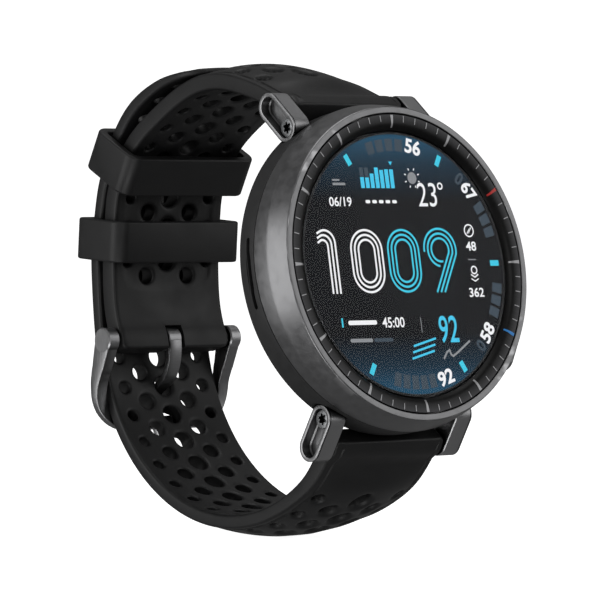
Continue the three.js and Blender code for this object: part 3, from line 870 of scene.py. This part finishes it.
# ---------------------------------------------------------------- routes
class Route:
    """A smooth line in the side view, measured along its length. outer is +1 or -1: the side that
    faces away from the wrist."""

    def __init__(self, points, outer, before=0.0, after=0.0):
        places = [Vector(p) for p in points]
        if before:
            places.insert(0, places[0] - (places[1] - places[0]).normalized() * before)
        if after:
            places.append(places[-1] + (places[-1] - places[-2]).normalized() * after)
        self.places = self.curve(places)
        self.outer = outer
        self.stations = [0.0]
        for a, b in zip(self.places, self.places[1:]):
            self.stations.append(self.stations[-1] + (b - a).length)
        self.length = self.stations[-1]
        self.ways = []
        for i in range(len(self.places)):
            a = self.places[max(i - 1, 0)]
            b = self.places[min(i + 1, len(self.places) - 1)]
            self.ways.append((b - a).normalized())
        self.last = 0

    @staticmethod
    def curve(places, steps=20):
        """A centripetal Catmull-Rom curve through the places."""
        def mix(first, second, start, end, now):
            return first * ((end - now) / (end - start)) + second * ((now - start) / (end - start))

        ends = [places[0] * 2 - places[1], *places, places[-1] * 2 - places[-2]]
        out = []
        for i in range(1, len(ends) - 2):
            p = ends[i - 1:i + 3]
            t = [0.0]
            for a, b in zip(p, p[1:]):
                t.append(t[-1] + math.sqrt((b - a).length))
            for k in range(steps):
                now = t[1] + (t[2] - t[1]) * k / steps
                a = [mix(p[j], p[j + 1], t[j], t[j + 1], now) for j in range(3)]
                b = [mix(a[j], a[j + 1], t[j], t[j + 2], now) for j in range(2)]
                out.append(mix(b[0], b[1], t[1], t[2], now))
        out.append(places[-1])
        return out

    def at(self, station):
        """The place on the line at a station, and the direction away from the wrist."""
        station = min(max(station, 0.0), self.length)
        i = min(self.last, len(self.stations) - 2)
        while i > 0 and self.stations[i] > station:
            i -= 1
        while i < len(self.stations) - 2 and self.stations[i + 1] < station:
            i += 1
        self.last = i
        t = (station - self.stations[i]) / (self.stations[i + 1] - self.stations[i])
        place = self.places[i].lerp(self.places[i + 1], t)
        way = self.ways[i].lerp(self.ways[i + 1], t).normalized()
        return place, Vector((-way.y, way.x)) * self.outer

    def nearest(self, target):
        aim = Vector(target)
        best = min(range(len(self.places)), key=lambda i: (self.places[i] - aim).length)
        return self.stations[best]


def ease(value, low, high):
    t = min(max((value - low) / (high - low), 0.0), 1.0)
    return t * t * (3 - 2 * t)


# ---------------------------------------------------------------- straps
EDGE = 0.42
ARC_STEPS = 4
GROOVE_X = 8.62
RECESS_X = 7.9
RECESS_CORNER = 3.0
CROWN = 1.35
WORN_CROWN = 0.2
FIRST_ROW = 8.2
SIDE_X = 7.15
PAIR_X = 3.75
HOLE_SIZES = {"middle": 1.5, "pair": 1.22, "side": 0.88}
MOUTH = {"middle": 0.72, "pair": 0.66, "side": 0.5}
DISH = {"middle": 0.62, "pair": 0.55, "side": 0.4}


def hole_rows(first, last, start_with_pairs=False):
    """Holes from one station to another: a middle one with one near each edge, then a pair between."""
    holes = []
    row = 0
    station = first
    while station <= last + 1e-6:
        if (row % 2 == 0) != start_with_pairs:
            holes += [(station, 0.0, "middle"), (station, -SIDE_X, "side"), (station, SIDE_X, "side")]
        else:
            holes += [(station, -PAIR_X, "pair"), (station, PAIR_X, "pair")]
        station += PITCH / 2
        row += 1
    return holes


def strap(name, route, half, crown, holes, recess, tip_corner, ends):
    """A moulded band along a route.

    half(station) is half its thickness, and crown(station) the height that its outer face gains in the
    middle. holes are (station, x, kind). recess gives the stations where the shallow panel on the wrist
    side starts and stops, or None, and ends gives the stations of the band's own ends.
    """
    low, high = ends[0] + EDGE, ends[1] - EDGE
    wide = STRAP_HALF - EDGE
    outline = []

    def corner(s, x, radius, first):
        count = max(3, int(radius * 3))
        for k in range(count + 1):
            t = math.radians(first + 90 * k / count)
            outline.append((s + radius * math.cos(t), x + radius * math.sin(t), math.cos(t), math.sin(t)))

    small = 0.4
    corner(high - tip_corner, wide - tip_corner, tip_corner, 0)
    count = int((high - low) / 0.8)
    for k in range(1, count):
        outline.append((high - tip_corner - (high - tip_corner - low - small) * k / count, wide, 0, 1))
    corner(low + small, wide - small, small, 90)
    across = int(wide * 2 / 0.8)
    for k in range(1, across):
        outline.append((low, wide - small - (wide - small) * 2 * k / across, -1, 0))
    corner(low + small, -wide + small, small, 180)
    for k in range(1, count):
        outline.append((low + small + (high - tip_corner - low - small) * k / count, -wide, 0, -1))
    corner(high - tip_corner, -wide + tip_corner, tip_corner, 270)
    tip = int((wide - tip_corner) * 2 / 0.8)
    for k in range(1, tip):
        outline.append((high, -wide + tip_corner + (wide - tip_corner) * 2 * k / tip, 1, 0))

    def relief_out(s, x):
        """The outer face's own relief: its crown, and a fine groove inside each edge band."""
        away = abs(abs(x) - GROOVE_X)
        groove = -0.2 * (1 - ease(away, 0.04, 0.2)) - 0.1 * ease(abs(x), GROOVE_X, GROOVE_X + 0.15)
        return groove + crown(s) * (1 - (min(abs(x), GROOVE_X) / GROOVE_X) ** 2)

    def relief_in(s, x):
        """The wrist side's relief: a shallow panel round the holes."""
        if not recess:
            return 0.0
        past = max(s - recess[1] + RECESS_CORNER, recess[0] + RECESS_CORNER - s, 0.0)
        beside = max(abs(x) - RECESS_X + RECESS_CORNER, 0.0)
        return -0.13 * (1 - ease(math.hypot(past, beside), RECESS_CORNER - 0.5, RECESS_CORNER + 0.3))

    flat = [(s, x) for s, x, *_ in outline]
    kinds = [(0.0, 0.0)] * len(outline)
    fixed = [(k, (k + 1) % len(outline)) for k in range(len(outline))]
    walls = []
    for s, x, kind in holes:
        radius, mouth, dish = HOLE_SIZES[kind], MOUTH[kind], DISH[kind]
        count = 28 if kind == "middle" else 24 if kind == "pair" else 20
        for k, share in enumerate((0.0, 0.12, 0.35, 0.65, 1.0)):
            start = len(flat)
            for j in range(count):
                t = 2 * math.pi * j / count
                r = radius + mouth * share
                flat.append((s + r * math.cos(t), x + r * math.sin(t)))
                kinds.append((-dish * (1 - share) ** 2, -0.2 * (1 - share) ** 3))
            if k == 0:
                walls.append((start, count))
                fixed += [(start + j, start + (j + 1) % count) for j in range(count)]
    inner_columns = [0.75 * k for k in range(-10, 11)]
    edge_columns = [sign * value for sign in (-1, 1)
                    for value in (7.6, 7.75, 7.9, 8.05, 8.3, 8.42, 8.52, 8.62, 8.72, 8.82, 9.05)]
    rows = int((high - low) / 0.8)
    grid_rows = [low + (high - low) * k / rows for k in range(1, rows)]
    if recess:
        grid_rows += [value + step for value in recess for step in (-0.4, -0.2, 0.0, 0.2, 0.4)]
    for s in grid_rows:
        near = [(hs, hx, HOLE_SIZES[kind] + MOUTH[kind] + 0.22) for hs, hx, kind in holes if abs(hs - s) < 3]
        for x in inner_columns + edge_columns:
            if any((s - hs) ** 2 + (x - hx) ** 2 < reach * reach for hs, hx, reach in near):
                continue
            if s > high - tip_corner and abs(x) > wide - tip_corner:
                if math.hypot(s - high + tip_corner, abs(x) - wide + tip_corner) > tip_corner - 0.2:
                    continue
            flat.append((s, x))
            kinds.append((0.0, 0.0))
    solved = delaunay_2d_cdt([Vector(p) for p in flat], fixed, [], 0, 1e-5, True)
    places, triangles, sources = solved[0], solved[2], solved[3]
    index = {}
    for new, olds in enumerate(sources):
        for old in olds:
            index[old] = new
    lift = {new: kinds[old] for old, new in index.items()}

    kept = []
    holes_by_row = sorted((hs, hx, HOLE_SIZES[kind]) for hs, hx, kind in holes)
    for triangle in triangles:
        s = sum(places[i].x for i in triangle) / 3
        x = sum(places[i].y for i in triangle) / 3
        if not any(abs(hs - s) < 2 and (s - hs) ** 2 + (x - hx) ** 2 < (r * 0.985) ** 2
                   for hs, hx, r in holes_by_row):
            kept.append(tuple(triangle))

    def point(s, x, height):
        place, out = route.at(s)
        spot = place + out * height
        return (x, spot.x, spot.y)

    vertices = []
    for i, place in enumerate(places):
        s, x = place
        rise = lift.get(i, (0.0, 0.0))[0]
        vertices.append(point(s, x, half(s) + relief_out(s, x) + rise))
    shift = len(places)
    for i, place in enumerate(places):
        s, x = place
        rise = lift.get(i, (0.0, 0.0))[1]
        vertices.append(point(s, x, -half(s) - relief_in(s, x) - rise))
    faces = list(kept) + [tuple(shift + i for i in triangle[::-1]) for triangle in kept]
    for start, count in walls:
        for j in range(count):
            a, b = index[start + j], index[start + (j + 1) % count]
            faces.append((a, b, shift + b, shift + a))
    rim_rings = [[index[k] for k in range(len(outline))]]
    for side in (1, -1):
        steps = range(1, ARC_STEPS + 1) if side > 0 else range(ARC_STEPS, 0, -1)
        for step in steps:
            t = math.pi / 2 * step / ARC_STEPS
            ring = []
            for s, x, out_s, out_x in outline:
                thick = half(s) + (relief_out(s, x) if side > 0 else relief_in(s, x))
                round_off = min(EDGE, thick * 0.92)
                reach = EDGE * math.sin(t)
                ring.append(len(vertices))
                vertices.append(point(s + out_s * reach, x + out_x * reach,
                                      side * (thick - round_off * (1 - math.cos(t)))))
            rim_rings.append(ring)
    rim_rings.append([shift + index[k] for k in range(len(outline))])
    for ring, after in zip(rim_rings, rim_rings[1:]):
        for k in range(len(ring)):
            j = (k + 1) % len(ring)
            faces.append((ring[k], ring[j], after[j], after[k]))
    return new_mesh(name, vertices, faces)


def swelling(station, centre, radius, thickness):
    """Half the thickness where a band runs into a round barrel."""
    away = abs(station - centre)
    barrel = math.sqrt(max(radius * radius - away * away, 0.0))
    return math.sqrt(math.sqrt(barrel ** 4 + thickness ** 4 * ease(away, 0, radius * 0.8) ** 4 + 1e-6))


def lever_room(place):
    u, n = place
    outline = box_outline(5.0, 1.5, 0.7, 6)
    return levels("room", lambda inset: [(x - 7.0, y + u) for x, y in outline(inset)], [(n - 5, 0), (n, 0)])


UPPER_POINTS = [SPRING_BAR, (25.0, -13.2), (27.4, -17.5), (29.9, -24.2), (30.15, -30.0), (28.0, -37.8),
                (24.6, -44.8), (19.5, -49.4), (15.3, -51.0), (9.0, -52.6), (2.9, -53.3), BUCKLE_PIN]


def lower_points():
    points = [mirror(SPRING_BAR)]
    for degrees in range(-119, 4, 12):
        t = math.radians(degrees)
        points.append((LOOP_CENTRE[0] + LOOP_R * math.sin(t), LOOP_CENTRE[1] - LOOP_R * math.cos(t)))
    return points + [(7.0, -56.0), (11.8, -55.2), (16.2, -53.7), (20.8, -51.7), (27.1, -47.0), (30.1, -42.9),
                     (32.0, -36.8), (32.3, -32.0), (32.1, -27.0)]


def upper_strap():
    route = Route(UPPER_POINTS, 1, BARREL_R, BUCKLE_END_R)
    pin = route.length - BUCKLE_END_R

    def half(s):
        plain = 1.15 + 0.35 * s / route.length
        if s < 5:
            return swelling(s, BARREL_R, BARREL_R, plain)
        if s > route.length - 5:
            return swelling(s, pin, BUCKLE_END_R, plain)
        return plain

    last_pair = route.nearest((7.6, -52.8))
    count = int((last_pair - FIRST_ROW) / (PITCH / 2))
    holes = hole_rows(last_pair - count * PITCH / 2, last_pair, start_with_pairs=count % 2 == 0)

    def crown(s):
        top = CROWN + (WORN_CROWN - CROWN) * ease(s, 24, 38)
        return top * ease(s, 4, 8) * (1 - ease(s, route.length - 6, route.length - 1.5))

    band = strap("upper_band", route, half, crown, holes, (9.0, last_pair + 2.0), 0.6,
                 (0.05, route.length - 0.05))
    slot = plate("room", lambda inset: [(-6, -60), (0.0, -60), (0.0, -48), (-6, -48)], [(-1.5, 0), (1.5, 0)])
    carve(band, tube("room", BAR_BORE, -11, 11, SPRING_BAR), tube("room", PIN_BORE, -11, 11, BUCKLE_PIN),
          slot, lever_room(SPRING_BAR))
    settle(band, SILICONE, "strap_loop", "silicone", "upper_strap", crease=40)


def lower_strap():
    route = Route(lower_points(), -1, BARREL_R)

    def half(s):
        t = s / route.length
        plain = 1.0 + 0.4 * (1 - ease(t, 0, 0.15)) - 0.55 * ease(t, 0.86, 1)
        return swelling(s, BARREL_R, BARREL_R, plain) if s < 5 else plain

    tongue = route.nearest(TONGUE_HOLE)
    back = int((tongue - FIRST_ROW) / (PITCH / 2))
    back -= back % 2
    holes = hole_rows(tongue - back * PITCH / 2, route.length - 5.5)
    bar = route.nearest((-14.0, -54.4))

    def crown(s):
        top = CROWN + (WORN_CROWN - CROWN) * ease(s, bar + 4, bar + 14)
        tail = 1 - ease(s, route.length - 24, route.length - 8)
        return top * ease(s, 4, 8) * tail * ease(abs(s - bar), 1.2, 3.6)

    band = strap("lower_band", route, half, crown, holes, None, 5.0, (0.05, route.length))
    carve(band, tube("room", BAR_BORE, -11, 11, mirror(SPRING_BAR)), lever_room(mirror(SPRING_BAR)))
    settle(band, SILICONE, "strap_loop", "silicone", "lower_strap", crease=40)


def keeper(name, centre, degrees, height):
    """A moulded loop round both layers of the strap, with softened edges."""
    outer = box_outline(KEEPER_WIDTH, height + 0.3, 2.0, 10)(0)
    inner = box_outline(KEEPER_ROOM, height - 2.4, 0.7, 10)(0)
    reach = 0.32
    half = KEEPER_LENGTH / 2
    profile = []
    for side_a, side_b in ((1, 1), (-1, 1), (-1, -1), (1, -1)):
        for k in range(5):
            t = math.pi / 2 * k / 4
            if side_a * side_b < 0:
                t = math.pi / 2 - t
            profile.append((side_a, side_b, math.cos(t), math.sin(t)))
    lean = math.radians(degrees)
    outward = Vector((math.sin(lean), -math.cos(lean)))
    along = Vector((math.cos(lean), math.sin(lean)))
    rings = []
    for (ox, oy), (ix, iy) in zip(outer, inner):
        wall = Vector((ox - ix, oy - iy))
        thick = wall.length
        ring = []
        for side_a, side_b, ca, cb in profile:
            a = thick / 2 + side_a * (thick / 2 - reach + reach * ca)
            b = side_b * (half - reach + reach * cb)
            spot = Vector((ix, iy)) + wall * (a / thick)
            place = Vector(centre) + outward * spot.y + along * b
            ring.append((spot.x, place.x, place.y))
        rings.append(ring)
    loop = new_mesh(f"{name}_loop", *skin(rings, loop=True))
    settle(loop, SILICONE, name, "silicone", name, crease=40)


# ---------------------------------------------------------------- buckle
def band_outline(route, half, steps=44):
    """The side outline of a flat bar along a route."""
    def outline(inset):
        sides = [[], []]
        for i in range(steps + 1):
            place, out = route.at(route.length * i / steps)
            sides[0].append(tuple(place + out * (half - inset)))
            sides[1].insert(0, tuple(place - out * (half - inset)))
        return sides[0] + sides[1]
    return outline


def frame_bar():
    """The buckle's D-shaped bar, swept down one limb, round the far corners and up the other limb."""
    route = Route([BUCKLE_PIN, (-4.7, -54.3), (-7.3, -55.65), (-9.2, -56.15), (-11.2, -56.5), (-13.2, -56.5),
                   (-15.0, -56.2)], -1)
    side, corner, end = FRAME_HALF - LIMB_WIDE / 2, FRAME_CORNER, FRAME_END + LIMB_WIDE / 2
    path = [(side, BUCKLE_PIN[0] + (end + corner - BUCKLE_PIN[0]) * k / 24) for k in range(25)]
    for k in range(1, 13):
        t = math.pi / 2 * k / 12
        path.append((side - corner + corner * math.cos(t), end + corner - corner * math.sin(t)))
    path += [(x, end) for x in (5.0, 1.56, 1.5, 0.0)]
    path += [(-x, u) for x, u in path[-2::-1]]
    soft = 0.22
    rings = []
    for i, (x, u) in enumerate(path):
        before, after = path[max(i - 1, 0)], path[min(i + 1, len(path) - 1)]
        across = Vector((after[1] - before[1], before[0] - after[0])).normalized()
        nearest = min(range(len(route.places)), key=lambda k: abs(route.places[k].x - u))
        centre, out = route.at(route.stations[nearest])
        tall = 1.72 - 1.14 * ease(BUCKLE_PIN[0] - u, -2, 10)
        notch = 0.4 if abs(x) < 1.53 and u < -12 else 0.0
        ring = []
        top = tall - notch
        for a_side, level, first in ((1, top, 0), (-1, top, 90), (-1, -tall, 180), (1, -tall, 270)):
            for k in range(4):
                t = math.radians(first + 30 * k)
                a = a_side * (LIMB_WIDE / 2 - soft) + soft * math.cos(t)
                b = level - math.copysign(soft, level) + soft * math.sin(t)
                slope = -out.x / out.y
                ring.append((x + across.x * a, u + across.y * a + out.x * b,
                             centre.y + across.y * a * slope + out.y * b))
        rings.append(ring)
    return new_mesh("bar", *skin(rings))


def buckle():
    limbs = []
    for sign in (-1, 1):
        head = tube("head", 1.8, FRAME_HALF - LIMB_WIDE - 0.03, FRAME_HALF + 0.03, BUCKLE_PIN, 0.18, 56)
        boss = tube("boss", 1.1, 10.12, 11.0, BUCKLE_PIN, 0.06)
        for part in (head, boss):
            if sign < 0:
                part.data.transform(Matrix.Scale(-1, 4, (1, 0, 0)))
                part.data.flip_normals()
        limbs += [head, boss]
    settle(join("buckle_loop", frame_bar(), *limbs), LUG_METAL, "buckle_frame", "lug_metal", "buckle_frame")
    pin = tube("buckle_axle", 0.7, -11.4, 11.4, BUCKLE_PIN, 0.1)
    settle(pin, STEEL, "buckle_frame", "steel", "buckle_pin")

    tongue_route = Route([(-1.6, -51.6), (-3.4, -51.8), (-5.7, -52.65), (-7.4, -54.1), TONGUE_HOLE,
                          (-8.85, -57.3), (-10.6, -57.95), (-12.6, -57.65), (-14.2, -57.1),
                          (-15.4, -56.6)], -1)
    half = TONGUE_HALF
    edges = [(-half, 0.14), (-half + 0.04, 0.04), (-half + 0.14, 0), (half - 0.14, 0), (half - 0.04, 0.04),
             (half, 0.14)]
    blade = plate("blade", band_outline(tongue_route, 0.45), edges)
    root = carve(tube("root", 1.66, -half, half, BUCKLE_PIN, 0.1, 56), tube("room", 0.85, -3, 3, BUCKLE_PIN))
    settle(join("tongue_blade", blade, root), TONGUE_METAL, "buckle_tongue", "lug_metal", "buckle_tongue")


# ---------------------------------------------------------------- back
def back():
    cover = turned("back_shell", rounded([
        (7.35, -10.3, 0), (7.35, BACK_N, 0.15), (9.0, BACK_N, 0), (9.05, BACK_N + 0.06, 0),
        (9.2, BACK_N + 0.06, 0), (9.25, BACK_N, 0), (16.55, BACK_N, 0.3), (17.0, BACK_N + 0.4, 0.2),
        (17.0, -10.3, 0)]), 160)
    contacts = [-4.5, -1.5, 1.5, 4.5]
    screws = [polar(15, bearing) for bearing in (45, 135, 225, 315)]
    rooms = [levels("room", circle(0.85, (x, -10.6), 32), [(-12, 0), (-11.1, 0)]) for x in contacts]
    rooms += [levels("room", circle(1.2, place, 32), [(-12, 0), (-10.85, 0)]) for place in screws]
    settle(carve(cover, *rooms), RESIN, "case", "black_resin", "back_cover")
    window = turned("sensor_dome", [(0, -10.6), (7.0, -10.6), *rounded([
        (7.0, BACK_N, 0.3), (6.5, -12.15, 0.5), (5.4, SENSOR_FACE_N, 0.5)]), (0, SENSOR_FACE_N)], 128)
    settle(window, SENSOR, "case", "sensor_glass", "sensor_window")
    for i, x in enumerate(contacts, 1):
        pad = levels("pad", circle(0.65, (x, -10.6), 32),
                     [(-11.1, 0), (-11.4, 0), (-11.45, 0.06), (-11.45, 0.3)])
        pad.name = f"contact_pad_{i}"
        settle(pad, GOLD, "case", "gold", f"charging_contact_{i}")
    for i, (x, u) in enumerate(screws, 1):
        head = socket_screw("head", 0.95, 10.85, 11.38, (0, 0), 0.4, across_watch=False)
        head.data.transform(Matrix.Translation((x, u, 0)) @ Matrix.Rotation(math.pi, 4, "X"))
        head.name = f"back_screw_head_{i}"
        settle(head, STEEL, "case", "steel", f"back_screw_{i}")
    for i, (x, u) in enumerate([(0, 0), *[polar(3.4, bearing) for bearing in (0, 90, 180, 270)]]):
        dot = levels("dot", box_outline(1.5, 1.5, 0.3) if i == 0 else circle(0.55, count=24),
                     [(SENSOR_FACE_N - 0.012, 0.02), (SENSOR_FACE_N + 0.02, 0)])
        dot.data.transform(Matrix.Translation((x, u, 0)))
        dot.name = f"sensor_eye_{i}"
        settle(dot, GREEN_EYE if i else CELL, "case", "sensor_glass")


# ---------------------------------------------------------------- CAD pieces that keep their shape
def inner_parts():
    finishes = {
        "inner_frame": (INNER, "inner_plastic"), "main_board": (BOARD, "board"),
        "sensor_board": (BOARD, "board"),
        "battery": (CELL, "cell"), "vibration_motor": (STEEL, "steel"), "speaker": (INNER, "inner_plastic"),
        "speaker_mesh": (STEEL, "steel"), "gps_antenna": (GOLD, "gold"), "back_gasket": (SEAL, "seal"),
        "start_button_switch": (INNER, "inner_plastic"), "back_button_switch": (INNER, "inner_plastic"),
        "upper_spring_bar": (STEEL, "steel"), "lower_spring_bar": (STEEL, "steel"),
        "upper_release_lever": (STEEL, "steel"), "lower_release_lever": (STEEL, "steel"),
    }
    for name, (material, slot) in finishes.items():
        obj = frame["nodes"][name]
        obj.data.materials.clear()
        obj.data.materials.append(material)


# ---------------------------------------------------------------- studio, in metres and watts
SOFTBOXES = [
    ("left", (-1.1, 0.35, 0.05), (0.9, 1.2), 6), ("front", (-0.5, -1.1, 0.5), (0.7, 0.7), 2.5),
    ("top", (0.1, 0.0, 1.1), (0.9, 0.9), 4), ("fill", (0.9, -0.8, 0.35), (0.9, 0.9), 2.5),
    ("low", (-0.75, -0.5, -0.65), (0.5, 0.5), 2.5)]
WORLD_STRENGTH = 0.16
FLOOR_GAP = 0.0003
FLOOR_R, SWEEP_R, WALL_TOP = 1.3, 0.9, 2.4
BACKDROP_SIDES = 96


def studio():
    """A round pale backdrop that curves up from the floor, and soft lights."""
    floor_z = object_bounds()[0][2] - FLOOR_GAP
    profile = [(0.05, 0.0), (0.5, 0.0), (FLOOR_R, 0.0)]
    profile += [(FLOOR_R + SWEEP_R * math.sin(t), SWEEP_R - SWEEP_R * math.cos(t)) for t in
                [math.radians(90 * k / 12) for k in range(1, 13)]]
    profile += [(FLOOR_R + SWEEP_R, WALL_TOP)]
    rings = []
    for k in range(BACKDROP_SIDES):
        t = 2 * math.pi * k / BACKDROP_SIDES
        rings.append([(r * math.cos(t), r * math.sin(t), z + floor_z) for r, z in profile])
    count = len(profile)
    vertices = [p for ring in rings for p in ring]
    faces = []
    for k in range(BACKDROP_SIDES):
        low, high = k * count, (k + 1) % BACKDROP_SIDES * count
        faces += [(low + j, low + j + 1, high + j + 1, high + j) for j in range(count - 1)]
    faces.append(tuple(k * count for k in range(BACKDROP_SIDES)))
    mesh = bpy.data.meshes.new("backdrop")
    mesh.from_pydata(vertices, [], faces)
    mesh.polygons.foreach_set("use_smooth", [True] * len(mesh.polygons))
    backdrop = new_object("backdrop", mesh)
    n = Nodes("backdrop")
    paper = n.noise(40, 2)
    mesh.materials.append(n.finish(
        Base_Color=n.ramp(paper, [(0.3, (0.8, 0.8, 0.8)), (0.7, (0.82, 0.82, 0.82))]), Roughness=0.9,
        Specular_IOR_Level=0.0, Emission_Color=(1, 1, 1, 1), Emission_Strength=0.95))
    for ray in ("glossy", "diffuse", "transmission", "shadow"):
        setattr(backdrop, f"visible_{ray}", False)
    backdrop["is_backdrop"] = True

    world = bpy.data.worlds.new("studio")
    world.use_nodes = True
    world.node_tree.nodes["Background"].inputs["Color"].default_value = (1, 1, 1, 1)
    world.node_tree.nodes["Background"].inputs["Strength"].default_value = WORLD_STRENGTH
    bpy.context.scene.world = world
    for lamp in SOFTBOXES:
        softbox(*lamp)


def softbox(name, place, size, power):
    light = bpy.data.lights.new(name, "AREA")
    light.shape = "RECTANGLE"
    light.size, light.size_y = size
    light.energy = power
    lamp = new_object(name, light)
    lamp.location = place
    lamp.rotation_euler = (Vector((0, 0.01, 0)) - Vector(place)).to_track_quat("-Z", "Y").to_euler()


LENS = 262.0
CAMERA_PLACE = (-0.39576, -0.44836, 0.00899)
CAMERA_RIGHT = Vector((0.7571, -0.6534, 0.0))
CAMERA_BACK = Vector((-0.6532, -0.7570, 0.0199))


def camera():
    """A long lens to the watch's lower left, level with it."""
    data = bpy.data.cameras.new("camera")
    data.sensor_width = 36
    data.lens = LENS
    data.clip_start = 0.01
    lens = new_object("camera", data)
    right = CAMERA_RIGHT.normalized()
    back_way = CAMERA_BACK.normalized()
    up_way = back_way.cross(right).normalized()
    right = up_way.cross(back_way)
    turn = Matrix((right, up_way, back_way)).transposed().to_4x4()
    lens.matrix_world = Matrix.Translation(CAMERA_PLACE) @ turn
    bpy.context.scene.camera = lens


# ---------------------------------------------------------------- assembly
camera()
upper_case()
lower_case()
chapter_ring()
minute_marks()
crystal()
readings()
lugs()
buttons()
upper_strap()
lower_strap()
keeper("lower_keeper", (12.65, -52.5), 14.5, 10.2)
keeper("upper_keeper", (23.05, -47.75), 38, 9.8)
buckle()
back()
inner_parts()
studio()
bpy.context.scene.view_settings.view_transform = "Standard"
